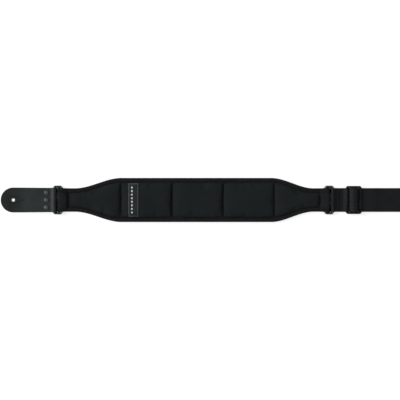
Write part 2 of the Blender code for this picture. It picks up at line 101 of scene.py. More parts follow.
# Rings
LEFT_TAB_BAR, LEFT_PAD_BAR, LEFT_RING_Z, WIRE = ring_bars("left_ring")
RIGHT_PAD_BAR, RIGHT_WEBBING_BAR, RIGHT_RING_Z, _ = ring_bars("right_ring")
FAR_WEBBING_BAR, FAR_TAB_BAR, FAR_RING_Z, _ = ring_bars("far_ring")
RING_HALF_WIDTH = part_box("left_ring")[1].y - WIRE
RING_CORNER = 3.0 * MM
GAP = 0.3 * MM

# Leather tabs, measured from their ring bar
TABS = [("left", LEFT_TAB_BAR, LEFT_RING_Z, -1), ("far", FAR_TAB_BAR, FAR_RING_Z, 1)]
TAB_REACH = LEFT_TAB_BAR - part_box("left_end_tab")[0].x
TAB_TIP_WIDTH = 2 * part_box("left_end_tab")[1].y
TAB_TIP_RADIUS = TAB_TIP_WIDTH / 2
TAB_RING_WIDTH = TAB_TIP_WIDTH - 1.3 * MM
TAB_COLUMNS = 71
TAB_TIP_ROWS = 28
TAB_STEP = 0.9 * MM
TAB_ROUNDING = 0.55 * MM
TAB_DROP = 55.0 * MM
LEAF_END = 27.0 * MM
LOOP_RUN = 7.0 * MM
HOLE_X = TAB_REACH - 26.8 * MM
SLIT_LENGTH = 13.0 * MM
SLIT_WIDTH = 0.3 * MM
CREASE_RADIUS = 8.6 * MM
CREASE_POINT = 26.5 * MM
CREASE_WIDTH = 0.9 * MM
CREASE_SKIN = 0.2 * MM
CREASE_PAST_POINT = 1 * MM
# Painted light on the leather: a painted highlight on the outside of its bend at the ring, and painted shade
# that darkens it towards the tip
HIGHLIGHT_AT = 5.0 * MM
HIGHLIGHT_WIDTH = 2.0 * MM
PAINTED_FALLOFF = 0.72
RIVETS_FROM = 11.0 * MM
RIVET_FROM_BAR = 16.8 * MM
RIVET_PITCH = 16.0 * MM
RIVET_BACK = 0.9 * MM
RIVET_BACK_EDGE = 0.4 * MM
RIVET_RIM = 0.45 * MM

# Pad
TAIL_LOOP = 12.4 * MM
TAIL_ARC = math.radians(75)
TAIL_COLUMNS = 25
TAIL_STEP = 1.0 * MM
TAIL_UNDER_TOP = 1.5 * MM
TAIL_SUNK = 0.4 * MM
TAIL_UNDER_BOTTOM = 3 * MM
COVER_LOW, COVER_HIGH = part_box("pad_face_cover")
LEFT_SLACK = LEFT_PAD_BAR - RIGHT_RING_Z - COVER_LOW.x
RIGHT_SLACK = COVER_HIGH.x - RIGHT_RING_Z - RIGHT_PAD_BAR
LEFT_SEAM = LEFT_PAD_BAR + TAIL_LOOP
RIGHT_SEAM = RIGHT_PAD_BAR - TAIL_LOOP
PANEL = 110.0 * MM
LEFT_TAPER = 116.0 * MM
LEFT_NECK = 17.0 * MM
RIGHT_TAPER = RIGHT_SEAM - LEFT_SEAM - LEFT_TAPER - 3 * PANEL
RIGHT_NECK = 14.0 * MM
RIGHT_SHOULDER = 7.0 * MM
CHANNELS = [LEFT_SEAM + LEFT_TAPER + PANEL * k for k in range(4)]
SEAMS = [LEFT_SEAM] + CHANNELS + [RIGHT_SEAM]
STRAP_HALF_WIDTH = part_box("webbing_upper_run")[1].y
PAD_WIDTH = 2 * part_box("binding_upper")[1].y
TAIL_WIDTH = 2 * STRAP_HALF_WIDTH - 0.6 * MM
TAIL_CLOTH = TAIL_WIDTH / 2 - 0.6 * MM
EDGE_BOTTOM_Z = 1.2 * MM
EDGE_TOP_Z = 4.7 * MM
BINDING_TOP_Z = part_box("binding_upper")[1].z
LABEL_LOW, LABEL_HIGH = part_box("pad_label")

# How seams wander and bow, how the cloth rises and puckers beside them, and the painted shade beside them
# and in the crease along the bindings
SEAM_NEAR = 9 * MM
SEAM_WANDER = 0.7 * MM
BOW_NEAR = 11 * MM
BOW_MIDDLE = 2.6 * MM
BOW_FALL = 3.6 * MM
TRENCH = 4.0 * MM
TRENCH_FLOOR = 0.3
TRENCH_SHARE = 0.6
CROWN_RUN = 26.0 * MM
SEAM_DEPTHS = [1.0, 0.86, 1.0, 0.92, 0.78, 0.82]
PUCKER = 0.3
PUCKER_PITCH = 8.0 * MM
# Painted shade beside each seam: how deep, and how wide
SEAM_SHADES = [1.0, 0.46, 0.64, 0.48, 0.28, 0.42]
SEAM_SHADE_WIDTH = 4.0 * MM
LEFT_SEAM_SHADE_WIDTH = 5.6 * MM
LEFT_MIDDLE_SHADE = 0.85
# Painted shade in the crease where the cover goes under its bindings, deeper at the lower one
TUCK_WIDTH = 1.7 * MM
TUCK_PITCH = 38.0 * MM
TUCK_UPPER = 0.4
TUCK_LOWER = 0.95

# The pad's sheet, closer together at its seams and bindings, and its swelling
ROW_SPACING = 3.1 * MM
ROWS_AT_SEAM = [0.0, 1.0 * MM, 1.7 * MM, 2.6 * MM]
ROWS_FROM_SEAM = 4.0 * MM
COLUMNS_AT_BINDING = [0.0, 0.8 * MM, 1.6 * MM, 2.6 * MM, 4.2 * MM]
COLUMNS_TUCKED = 3
COLUMNS_INSIDE = 29
TUCKED_TO_EDGE = 1.2 * MM
PAD_LOWEST = 0.05 * MM
BACK_CROWN = 1.1 * MM
CROWN_BEFORE_SWELLING = 0.86
SWELL_FRAMES = 20
SWELL_FURTHEST = 1.2 * MM
SWELL_SETTINGS = {
    "quality": 6,
    "mass": 0.25,
    "tension_stiffness": 12.0,
    "compression_stiffness": 12.0,
    "shear_stiffness": 6.0,
    "bending_stiffness": 0.8,
    "shrink_min": -0.008,
    "use_pressure": True,
    "uniform_pressure_force": 2.0,
    "vertex_group_mass": "sewn down",
}

# Binding tape and label
TAPE_SPACING = 1.6 * MM
TAPE_FROM_SEAM = 0.5 * MM
TAPE_PUCKER = 0.22 * MM
TAPE_PUCKER_PITCH = 4.6 * MM
TAPE_WANDER = 0.35 * MM
TAPE_STRAIGHT = 1.5 * MM
TAPE_LOWERED = 0.05 * MM
TRIM_THICKNESS = 0.3 * MM
LABEL_MARGIN = 0.45 * MM
LABEL_THICKNESS = 0.6 * MM
LABEL_RAISED = 0.12 * MM
LOZENGES = 8
LOZENGE_ROW = 0.36
LOZENGE_FROM_END = 9.0 * MM
LOZENGE_FOOT = 2.7 * MM
LOZENGE_TOP = 2.4 * MM
LOZENGE_HEIGHT = 0.24 * MM
LOZENGE_ROUNDING = 0.06 * MM

# Webbing and slider
SLIDER_LOW, SLIDER_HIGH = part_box("slider")
SLIDER_X = (SLIDER_LOW.x + SLIDER_HIGH.x) / 2
SLIDER_SIDE_BAR = 4.6 * MM
SLIDER_END_BAR = 3.8 * MM
SLIDER_MIDDLE_BAR = 9.0 * MM
SLIDER_SLOT = 7.9 * MM
SLIDER_CORNER = 5.0 * MM
SLIDER_SLOT_CORNER = 1.2 * MM
SLIDER_ROUNDING = 1.4 * MM
SLIDER_FOOT = (SLIDER_HIGH.x - SLIDER_LOW.x - SLIDER_SIDE_BAR) / 2
STRIP_COLUMNS = 9
STRIP_ROUNDING = 0.45 * MM
WRAP_CORNER = 3.0 * MM
WRAP_BEND = 3.0 * MM
ARCH_BEND = 2.0 * MM
ARCH_RISE = 5.0 * MM
ARCH_LIFT = 0.6 * MM
ARCH_LEAN = 2.6 * MM
ARCH_SLACK = 1.1 * MM
SEWN_END = 22.0 * MM
NEAR_DROP = 10.0 * MM
NEAR_SEWN = 21.5 * MM
NEAR_CLIMB = 8.0 * MM
NEAR_STITCHES = [RIGHT_WEBBING_BAR + step * MM for step in (11.4, 13.0, 14.6, 16.2)]
NEAR_PRESSED = 0.25 * MM
NEAR_STEP = 1.0 * MM
RETURN_SEWN_X = SLIDER_HIGH.x + 25.0 * MM
RETURN_END_X = RETURN_SEWN_X + 5.0 * MM
RETURN_STITCHES = [RETURN_SEWN_X - 9.0 * MM, RETURN_SEWN_X - 3.0 * MM]
CUT = 0.03 * MM
FAR_START_X = RETURN_SEWN_X + 18.0 * MM
FAR_TURN_X = FAR_WEBBING_BAR - 16.0 * MM
FAR_STEP = 3.0 * MM
STRAIGHT_STEP = 10.0 * MM
EASED = 0.12 * MM

# Stitches: their side of the cloth, and the share of a thread that they stand out of it or lie in it
LAID_ON = 0.1
DRAWN_IN = -0.45
ABOVE = (1, LAID_ON)
BELOW = (-1, LAID_ON)
BELOW_DRAWN_IN = (-1, DRAWN_IN)
CHANNEL_TO_BINDING = 0.6 * MM
TAIL_TO_BINDING = 0.4 * MM
BINDING_TO_STITCH = 1.5 * MM
BINDING_STITCH_END = 2 * MM
TAIL_STITCHES = [1.6 * MM, -2.2 * MM]
LABEL_TO_STITCH = 0.9 * MM
WEBBING_TO_STITCH = 2.0 * MM

# Studio
FLOOR_RADIUS = 9.0
FLOOR_BELOW = 0.2 * MM
FLOOR_SHADE_REACH = 12 * MM
FLOOR_SHADED = 0.39
FLOOR_CLEAR = 0.49
FLOOR_REFLECTS = 0.28
FLOOR_GLOWS = 0.8
KEY_PLACE = (-8.1, 2.2, 4.8)
KEY_SIZE = 6.0
FILL_PLACE = (2.4, -2.4, 2.6)
FILL_SIZE = 2.2
SENSOR = 36.0
FURTHEST_SEEN = 100.0
SHARP_Z = 5 * MM

# Finishes
WHITE = (1.0, 1.0, 1.0)
CHEVRON_SLOPE = 0.9
RIVET_ROUGHNESS = 0.58
SATIN_ROUGHNESS = 0.1
SOFT_CLOTH = {"Specular_IOR_Level": 0.05, "Sheen_Weight": 0.005, "Sheen_Roughness": 0.5}
FINISHES = {}


# Lines and curves in the XZ plane


def smooth(t):
    """0 to 1 with level ends."""
    t = min(max(t, 0.0), 1.0)
    return t * t * (3 - 2 * t)


def hump(off, width):
    """1 in the middle, falling away over a width."""
    return math.exp(-((off / width) ** 2))


def mix(a, b, t):
    return a + (b - a) * t


def spread(first, last, count):
    """Numbers from first to last in equal steps."""
    return [mix(first, last, k / count) for k in range(count + 1)]


def ramp(x0, z0, x1, z1, steps=14):
    """An S-shaped change of level."""
    return [(mix(x0, x1, t), mix(z0, z1, smooth(t))) for t in spread(0.0, 1.0, steps)]


def turn(x, z, radius, start, end, steps=16):
    """Points round (x, z), with angles in degrees."""
    angles = [math.radians(a) for a in spread(start, end, steps)]
    return [(x + radius * math.cos(a), z + radius * math.sin(a)) for a in angles]


def path(*runs, step=math.inf):
    """One line from several, with no points that coincide and none further than a step apart."""
    points = []
    for p in [p for run in runs for p in run]:
        if not points or math.dist(points[-1], p) > SAME_POINT:
            points.append(p)
    made = points[:1]
    for a, b in zip(points, points[1:]):
        count = max(1, math.ceil(math.dist(a, b) / step))
        made += list(zip(spread(a[0], b[0], count), spread(a[1], b[1], count)))[1:]
    return made


def sideways(points):
    """Unit vectors at right angles to a line, to its left."""
    made = []
    for a, b in zip(points[:1] + points, points[1:] + points[-1:]):
        length = math.dist(a, b)
        made.append((-(b[1] - a[1]) / length, (b[0] - a[0]) / length))
    return made


# Making and placing pieces


def grid(rows, columns, spot):
    """A sheet whose vertex in a row and column stands at spot(row, column)."""
    mesh = bmesh.new()
    bmesh.ops.create_grid(mesh, x_segments=rows - 1, y_segments=columns - 1, size=1.0)
    for vert in mesh.verts:
        row = round((vert.co.x + 1) / 2 * (rows - 1))
        column = round((vert.co.y + 1) / 2 * (columns - 1))
        vert.co = spot(row, column)
    return mesh


def from_middle(column, columns):
    """A column's place across a sheet, from -1 to 1."""
    return 2 * column / (columns - 1) - 1


def piece(name, mesh, *materials):
    """An object at the origin from a bmesh."""
    bmesh.ops.recalc_face_normals(mesh, faces=mesh.faces)
    data = bpy.data.meshes.new(name)
    mesh.to_mesh(data)
    mesh.free()
    made = bpy.data.objects.new(name, data)
    bpy.context.scene.collection.objects.link(made)
    for material in materials:
        data.materials.append(material)
    return made


def settle(made, angle=40):
    """Applies a piece's modifiers and shades it smooth, apart from its sharp edges."""
    seen = made.evaluated_get(bpy.context.evaluated_depsgraph_get())
    data = bpy.data.meshes.new_from_object(seen)
    made.modifiers.clear()
    made.data = data
    data.shade_smooth()
    data.set_sharp_from_angle(angle=math.radians(angle))


def modify(made, kind, **settings):
    """Adds a modifier with its settings."""
    modifier = made.modifiers.new(kind.lower(), kind)
    for name, value in settings.items():
        setattr(modifier, name, value)


def thicken(made, thickness):
    modify(made, "SOLIDIFY", thickness=thickness, offset=0.0, use_even_offset=True)


def round_edges(made, width, segments=3, angle=50):
    limit = math.radians(angle)
    modify(made, "BEVEL", width=width, segments=segments, limit_method="ANGLE", angle_limit=limit)


def bevel(mesh, edges, width, segments):
    """Rounds some edges of a bmesh."""
    shape = {"offset_type": "OFFSET", "affect": "EDGES", "profile": 0.5, "material": -1}
    bmesh.ops.bevel(mesh, geom=edges, offset=width, segments=segments, **shape)


def mark(made, name, value_at):
    """Gives each vertex a number, from its place, for the piece's finish to read."""
    marks = made.data.attributes.new(name, "FLOAT", "POINT").data
    for vert in made.data.vertices:
        marks[vert.index].value = value_at(vert.co)
    return marks


def keep_above(made, level):
    for vert in made.data.vertices:
        vert.co.z = max(vert.co.z, level)


def strip(name, points, thickness, material):
    """A strap of the webbing's width along points in XZ, with its long edges rounded."""

    def spot(row, column):
        x, z = points[row]
        return (x, STRAP_HALF_WIDTH * from_middle(column, STRIP_COLUMNS), z)

    made = piece(name, grid(len(points), STRIP_COLUMNS, spot), material)
    thicken(made, thickness)
    settle(made)
    mesh = bmesh.new()
    mesh.from_mesh(made.data)
    long_edges = []
    for edge in mesh.edges:
        a, b = edge.verts[0].co, edge.verts[1].co
        middle = (a + b) / 2
        from_end = min(math.dist((middle.x, middle.z), end) for end in (points[0], points[-1]))
        lengthways = abs(a.y - b.y) < MM / 10 and from_end >= thickness / 4
        if lengthways and edge.calc_face_angle(0.0) > math.radians(50):
            long_edges.append(edge)
    bevel(mesh, long_edges, STRIP_ROUNDING, 3)
    mesh.to_mesh(made.data)
    mesh.free()
    settle(made)
    return made


def rounded_rectangle(length, width, radius):
    """Points of a rectangle with round corners, anticlockwise and centred."""
    outline = []
    for side_x, side_y, start in ((1, 1, 0), (-1, 1, 90), (-1, -1, 180), (1, -1, 270)):
        x = side_x * (length / 2 - radius)
        y = side_y * (width / 2 - radius)
        outline += turn(x, y, radius, start, start + 90, 8)
    return outline


def turned(profile):
    """A profile of (radius, z) points, from axis to axis, spun about Z."""
    mesh = bmesh.new()
    rim = [mesh.verts.new((r, 0.0, z)) for r, z in profile]
    edges = [mesh.edges.new(pair) for pair in zip(rim, rim[1:])]
    whole = {"axis": (0, 0, 1), "cent": (0, 0, 0), "angle": 2 * math.pi, "steps": 32, "use_merge": True}
    bmesh.ops.spin(mesh, geom=rim + edges, **whole)
    bmesh.ops.remove_doubles(mesh, verts=mesh.verts, dist=0.01 * MM)
    return mesh


def surface(*names):
    """Something to drop points on, from named pieces."""
    vertices = []
    faces = []
    for name in names:
        data = bpy.data.objects[name].data
        start = len(vertices)
        vertices += [v.co.copy() for v in data.vertices]
        faces += [[start + i for i in p.vertices] for p in data.polygons]
    return BVHTree.FromPolygons(vertices, faces)


def drop(onto, x, y, side=1):
    """The point and normal of a surface above or below (x, y)."""
    point, normal, _, _ = onto.ray_cast(Vector((x, y, side * DROP_FROM)), Vector((0, 0, -side)))
    if point is None:
        raise RuntimeError(f"nothing to sew on at {x:.4f}, {y:.4f}")
    return point, normal


def sew(mesh, onto, line, sizes, side, lift):
    """Adds stitches to a bmesh along a line of (x, y) points, laid on a surface."""
    along = [0.0]
    for a, b in zip(line, line[1:]):
        along.append(along[-1] + math.dist(a, b))
    count = int(along[-1] / (sizes.stitch_length + sizes.stitch_gap))
    shape = Matrix.Diagonal((sizes.stitch_length / 2, sizes.thread / 2, sizes.thread / 2, 1.0))
    lying = shape @ Matrix.Rotation(math.pi / 2, 4, "Y")
    segment = 0
    for k in range(count):
        at = (k + 0.5) * along[-1] / count
        while along[segment + 1] < at:
            segment += 1
        a, b = line[segment], line[segment + 1]
        share = (at - along[segment]) / (along[segment + 1] - along[segment])
        point, normal = drop(onto, mix(a[0], b[0], share), mix(a[1], b[1], share), side)
        forward = Vector((b[0] - a[0], b[1] - a[1], 0.0)).normalized()
        forward = (forward - normal * forward.dot(normal)).normalized()
        across = normal.cross(forward)
        turned_to = Matrix((forward, across, normal)).transposed().to_4x4()
        place = Matrix.Translation(point + normal * sizes.thread * lift) @ turned_to @ lying
        bmesh.ops.create_uvsphere(mesh, u_segments=6, v_segments=5, radius=1.0, matrix=place)


def wear(made, body, slot, *nodes):
    """Puts a finished piece on its body and in place of CAD nodes; its slot is not used."""
    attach(made, body)
    if nodes:
        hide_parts(*nodes)


# Finishes


class Nodes:
    """A node tree, to which nodes are added one after another."""

    def __init__(self, tree):
        self.tree = tree

    def join(self, socket, value):
        if isinstance(value, bpy.types.NodeSocket):
            self.tree.links.new(value, socket)
        else:
            socket.default_value = value

    def add(self, kind, settings=None, **inputs):
        """A node, with its settings and its inputs by name."""
        made = self.tree.nodes.new(kind)
        for name, value in (settings or {}).items():
            setattr(made, name, value)
        self.fill(made, inputs)
        return made

    def fill(self, node, inputs):
        for name, value in inputs.items():
            self.join(node.inputs[name.replace("_", " ")], value)

    def math(self, operation, a, b):
        made = self.add("ShaderNodeMath", {"operation": operation})
        self.join(made.inputs[0], a)
        self.join(made.inputs[1], b)
        return made.outputs[0]

    def fit(self, value, low, high, to_low, to_high):
        ends = {"From_Min": low, "From_Max": high, "To_Min": to_low, "To_Max": to_high}
        return self.add("ShaderNodeMapRange", Value=value, **ends).outputs["Result"]


class Finish(Nodes):
    """A material's nodes, from object coordinates to its shader."""

    def __init__(self, name):
        self.material = bpy.data.materials.new(name)
        self.material.use_nodes = True
        super().__init__(self.material.node_tree)
        self.shader = self.tree.nodes["Principled BSDF"]
        self.place = self.add("ShaderNodeTexCoord").outputs["Object"]

    def scaled(self, x, y, z, turn_z=0.0):
        scale = {"Scale": (x, y, z), "Rotation": (0, 0, turn_z)}
        return self.add("ShaderNodeMapping", Vector=self.place, **scale).outputs["Vector"]

    def cloth_place(self, chevron=None):
        """Object coordinates with the height added along the strap, so a weave follows its bends."""
        split = self.add("ShaderNodeSeparateXYZ", Vector=self.place).outputs
        along = self.math("ADD", split["X"], split["Z"])
        if chevron is not None:
            folded = self.math("PINGPONG", split["Y"], chevron)
            along = self.math("ADD", along, self.math("MULTIPLY", folded, CHEVRON_SLOPE))
        return self.add("ShaderNodeCombineXYZ", X=along, Y=split["Y"]).outputs["Vector"]

    def noise(self, vector, scale, detail=2.0, roughness=0.5):
        made = self.add("ShaderNodeTexNoise", Vector=vector, Scale=scale, Detail=detail, Roughness=roughness)
        return made.outputs["Fac"]

    def waves(self, vector, pitch, direction):
        """Rounded bands a pitch apart."""
        bands = {"wave_type": "BANDS", "bands_direction": direction, "wave_profile": "SIN"}
        made = self.add("ShaderNodeTexWave", bands, Vector=vector, Scale=math.pi / 10 / pitch)
        return made.outputs["Fac"]

    def shades(self, value, low, high, dark, light, colour=WHITE):
        """A colour that goes from dark to light times itself as a value goes from low to high."""
        made = self.add("ShaderNodeValToRGB", Fac=value)
        ends = made.color_ramp.elements
        for end, at, share in ((ends[0], low, dark), (ends[1], high, light)):
            end.position = at
            end.color = (*[c * share for c in colour], 1.0)
        return made.outputs["Color"]

    def marked(self, name, unmarked, full):
        """White that goes from one shade to another with a mark on the piece's vertices."""
        value = self.add("ShaderNodeAttribute", {"attribute_name": name}).outputs["Fac"]
        return self.shades(value, 0.0, 1.0, unmarked, full)

    def relief(self, height, depth, strength, **over):
        made = self.add("ShaderNodeBump", Height=height, Distance=depth, Strength=strength, **over)
        return made.outputs["Normal"]

    def done(self, shades, roughness, normal, **fixed):
        """Joins the shader to shades times each other; what is the same all over is set on its socket."""
        colour = shades[0]
        multiply = {"data_type": "RGBA", "blend_type": "MULTIPLY"}
        for shade in shades[1:]:
            colour = self.add("ShaderNodeMix", multiply, Factor=1.0, A=colour, B=shade).outputs["Result"]
        self.fill(self.shader, {"Base_Color": colour, "Roughness": roughness, "Normal": normal, **fixed})
        return self.material


def grained_leather(colour):
    """Black leather with a fine pebble grain, a mottled, slightly rubbed finish, and painted light: a
    painted highlight at the ring's bend and painted shade towards the tip.
    """
    made = Finish("grained black leather")
    wander = made.add("ShaderNodeTexNoise", Vector=made.place, Scale=700.0, Detail=1.0).outputs["Color"]
    bent = made.add("ShaderNodeMixRGB", Fac=0.0006, Color1=made.place, Color2=wander).outputs["Color"]
    cells = made.add("ShaderNodeTexVoronoi", {"feature": "DISTANCE_TO_EDGE"}, Vector=bent, Scale=780.0)
    pebble = made.fit(cells.outputs["Distance"], 0.0, 0.25, 0.0, 1.0)
    rubbing_and_painted_light = made.noise(made.place, 38.0, 5.0, 0.6)
    base = made.shades(rubbing_and_painted_light, 0.32, 0.72, 0.8, 1.25, colour)
    creased = made.shades(pebble, 0.0, 0.5, 0.72, 1.0)
    burnt = made.marked("pressed", 1.0, 0.3)
    # Painted highlight and painted shade, from the mark on the tab
    wear_and_painted_light = made.marked("painted_light", 0.6, 1.5)
    rough = made.fit(rubbing_and_painted_light, 0.3, 0.75, 0.44, 0.58)
    normal = made.relief(pebble, 0.1 * MM, 0.55)
    return made.done([base, creased, burnt, wear_and_painted_light], rough, normal, Specular_IOR_Level=0.1)


def woven_nylon(colour):
    """Close black nylon cloth with a soft bloom and faint rubbed patches, and painted shade where a piece
    marks it beside seams and bindings.
    """
    made = Finish("woven black nylon")
    pitch = 0.55 * MM
    vector = made.cloth_place()
    over = made.waves(vector, pitch * 2, "X")
    under = made.waves(vector, pitch * 2, "Y")
    checks = made.add("ShaderNodeTexChecker", Vector=vector, Scale=1.0 / pitch).outputs["Fac"]
    weave = made.add("ShaderNodeMix", Factor=checks, A=over, B=under).outputs["Result"]
    cloudy = made.noise(made.place, 30.0, 4.0, 0.55)
    base = made.shades(cloudy, 0.3, 0.7, 0.86, 1.14, colour)
    threads = made.shades(weave, 0.0, 1.0, 0.7, 1.15)
    # Painted shade, from the mark beside seams and bindings
    shadowed = made.marked("painted_shade", 1.0, 0.36)
    rough = made.fit(cloudy, 0.3, 0.7, 0.82, 0.92)
    normal = made.relief(weave, 0.12 * MM, 0.6)
    return made.done([base, threads, shadowed], rough, normal, **SOFT_CLOTH)


def ribbed_tape(colour):
    """Black grosgrain binding with cross ribs and painted shade along its inner edge."""
    made = Finish("ribbed binding tape")
    ribs = made.waves(made.cloth_place(), 0.9 * MM, "X")
    fibres = made.noise(made.scaled(300.0, 2500.0, 900.0), 1.0)
    cloudy = made.noise(made.place, 55.0, 3.0)
    base = made.shades(cloudy, 0.3, 0.7, 0.85, 1.2, colour)
    shaded = made.shades(ribs, 0.0, 1.0, 0.65, 1.1)
    # Painted shade, from the mark along the tape's inner edge
    shadowed = made.marked("painted_shade", 1.0, 0.36)
    rough = made.fit(fibres, 0.3, 0.7, 0.7, 0.85)
    normal = made.relief(fibres, 0.04 * MM, 0.4, Normal=made.relief(ribs, 0.14 * MM, 0.7))
    return made.done([base, shaded, shadowed], rough, normal, **SOFT_CLOTH)


def herringbone_webbing(colour):
    """Heavy black webbing with chevron ribs."""
    made = Finish("herringbone black webbing")
    vector = made.cloth_place(3.5 * MM)
    ribs = made.waves(vector, 1.1 * MM, "X")
    ends = made.waves(vector, 0.8 * MM, "Y")
    height = made.math("MULTIPLY", ribs, made.fit(ends, 0.0, 1.0, 0.55, 1.0))
    cloudy = made.noise(made.place, 42.0, 4.0, 0.55)
    base = made.shades(cloudy, 0.3, 0.7, 0.84, 1.18, colour)
    shaded = made.shades(height, 0.0, 0.9, 0.62, 1.15)
    rough = made.fit(cloudy, 0.3, 0.7, 0.42, 0.54)
    normal = made.relief(height, 0.2 * MM, 0.6)
    stiffer = {"Specular_IOR_Level": 0.08, "Sheen_Roughness": 0.45}
    return made.done([base, shaded], rough, normal, **{**SOFT_CLOTH, **stiffer})


def plated_steel(name, colour, roughness):
    """Dark plating with fine handling marks and a slight ripple."""
    made = Finish(name)
    marks = made.noise(made.scaled(160.0, 1800.0, 1800.0, 0.4), 1.0, 3.0, 0.7)
    smears = made.noise(made.place, 120.0, 3.0)
    base = made.shades(smears, 0.3, 0.75, 0.8, 1.25, colour)
    wear_and_painted_light = made.math("ADD", made.fit(marks, 0.35, 0.75, 0.0, 0.06), made.fit(smears, 0.3, 0.7, 0.0, 0.06))
    normal = made.relief(marks, 0.012 * MM, 0.25)
    return made.done([base], made.math("ADD", wear_and_painted_light, roughness), normal, Metallic=1.0)


def twisted_thread(colour):
    """Bonded sewing thread with a twist."""
    made = Finish("twisted black thread")
    twist = made.waves(made.place, 0.5 * MM, "DIAGONAL")
    base = made.shades(twist, 0.0, 1.0, 0.6, 1.3, colour)
    rough = made.fit(made.noise(made.place, 900.0), 0.3, 0.7, 0.55, 0.75)
    normal = made.relief(twist, 0.06 * MM, 0.6)
    return made.done([base], rough, normal, Specular_IOR_Level=0.06)


def woven_patch(name, colour):
    """Satin-woven label cloth."""
    made = Finish(name)
    rows = made.waves(made.place, 0.4 * MM, "Y")
    picks = made.noise(made.scaled(700.0, 2600.0, 700.0), 1.0)
    base = made.shades(picks, 0.3, 0.75, 0.78, 1.2, colour)
    shaded = made.shades(rows, 0.0, 1.0, 0.75, 1.08)
    rough = made.fit(picks, 0.3, 0.7, 0.5, 0.7)
    normal = made.relief(rows, 0.08 * MM, 0.5)
    return made.done([base, shaded], rough, normal, Specular_IOR_Level=0.1)


def finish_of(maker, *settings):
    """A finish that is made once and shared by the pieces that have it."""
    key = (maker, *[str(setting) for setting in settings])
    if key not in FINISHES:
        FINISHES[key] = maker(*settings)
    return FINISHES[key]


# Shapes of the strap


def tab_half_width(x):
    """Half the leather's width at a distance from its ring bar, up to its round tip."""
    return mix(TAB_RING_WIDTH, TAB_TIP_WIDTH, smooth(x / (TAB_REACH - TAB_TIP_RADIUS))) / 2


def tab_tip(along, across):
    """A point of the round tip, from shares of its length (0 to 1) and width (-1 to 1)."""
    x = TAB_REACH - TAB_TIP_RADIUS + TAB_TIP_RADIUS * along * math.sqrt(1 - across**2 / 2)
    return x, TAB_TIP_RADIUS * across * math.sqrt(1 - along**2 / 2)


def tab_levels(leather):
    """Heights over the ring bar: the floor, and the middles of the lower and upper leaf."""
    floor = -LEFT_RING_Z
    lower = floor + RIVET_BACK + GAP + leather / 2
    return floor, lower, lower + leather + GAP


def tab_path(leather):
    """The leather's middle line up to its tip: short leaf, loop round the bar and long leaf."""
    floor, lower, upper = tab_levels(leather)
    loop = WIRE + GAP + leather / 2
    lying = floor + leather / 2
    return path(
        [(LEAF_END, lower)],
        ramp(RIVETS_FROM, lower, 0.0, -loop),
        turn(0.0, 0.0, loop, 270, 90),
        ramp(0.0, loop, LOOP_RUN, upper),
        ramp(LEAF_END, upper, LEAF_END + TAB_DROP, lying),
        [(TAB_REACH - TAB_TIP_RADIUS, lying)],
        step=TAB_STEP,
    )


def crease(place, top):
    """How deep the drop-shaped line round the hole is, from 0 to 1, with its point towards the ring."""
    if place.z < top - CREASE_SKIN or place.x < LEAF_END + TAB_DROP * 0.5:
        return 0.0
    lean = math.acos(CREASE_RADIUS / CREASE_POINT)
    touch_x = HOLE_X - CREASE_RADIUS * math.cos(lean)
    touch_y = CREASE_RADIUS * math.sin(lean)
    point_x = HOLE_X - CREASE_POINT
    straight = Vector((point_x - touch_x, -touch_y)).normalized()
    off = Vector((place.x - touch_x, abs(place.y) - touch_y))
    if off.dot(straight) <= 0:
        return hump(math.hypot(place.x - HOLE_X, place.y) - CREASE_RADIUS, CREASE_WIDTH)
    if place.x > point_x - CREASE_PAST_POINT:
        return hump(off.x * straight.y - off.y * straight.x, CREASE_WIDTH)
    return 0.0


def rubbing_and_painted_light(place):
    """Painted light on the leather, from 0 to 1: painted shade that darkens it towards the tip, and a
    painted highlight on the outside of the bend at the ring.
    """
    falloff = PAINTED_FALLOFF * (1 - max(place.x, 0.0) / TAB_REACH)
    bent = hump(place.x - HIGHLIGHT_AT, HIGHLIGHT_WIDTH) if place.z > 0.0 else 0.0
    return mix(falloff, 1.0, bent)


def pad_half_width(x):
    """Half the pad's width over its bindings, with an S-shaped taper at each end."""
    left = (x - LEFT_SEAM - LEFT_NECK) / (LEFT_TAPER - LEFT_NECK)
    right = (RIGHT_SEAM - RIGHT_NECK - x) / (RIGHT_TAPER - RIGHT_NECK + RIGHT_SHOULDER)
    return mix(TAIL_WIDTH, PAD_WIDTH, smooth(left) * smooth(right)) / 2


def seam_shift(x, y):
    """How far hand sewing lets a channel or tail seam wander along X near (x, y)."""
    shift = 0.0
    for k, seam in enumerate(SEAMS):
        near = smooth(1 - abs(x - seam) / SEAM_NEAR)
        if near > 0.0:
            shift += near * SEAM_WANDER * noise.noise((y * 90, k * 7.3, 0.5))
    bow = smooth(1 - abs(x - LEFT_SEAM) / BOW_NEAR)
    return shift + bow * (BOW_MIDDLE - BOW_FALL * (y / TAIL_WIDTH * 2) ** 2)


def rise(distance):
    """How far a stuffed panel has risen at a distance from its seam: a steep edge, then a long crown."""
    edge = smooth((distance / TRENCH - TRENCH_FLOOR) / (1 - TRENCH_FLOOR))
    crown = math.sin(math.pi / 2 * min(max(distance / CROWN_RUN, 0.0), 1.0))
    return mix(crown, edge, TRENCH_SHARE)


def seam_shade(x, y):
    """How deep the painted shade is beside a seam, from 0 to 1: the shadow in its trench, deepest at the
    ends of the left seam.
    """
    shares = []
    for seam, share in zip(SEAMS, SEAM_SHADES):
        width = LEFT_SEAM_SHADE_WIDTH if seam == LEFT_SEAM else SEAM_SHADE_WIDTH
        towards_edge = abs(y) / pad_half_width(seam) if seam == LEFT_SEAM else 1.0
        shade_falloff = hump(x - seam - seam_shift(seam, y), width)
        shares.append(share * mix(LEFT_MIDDLE_SHADE, 1.0, towards_edge) * shade_falloff)
    return max(shares)


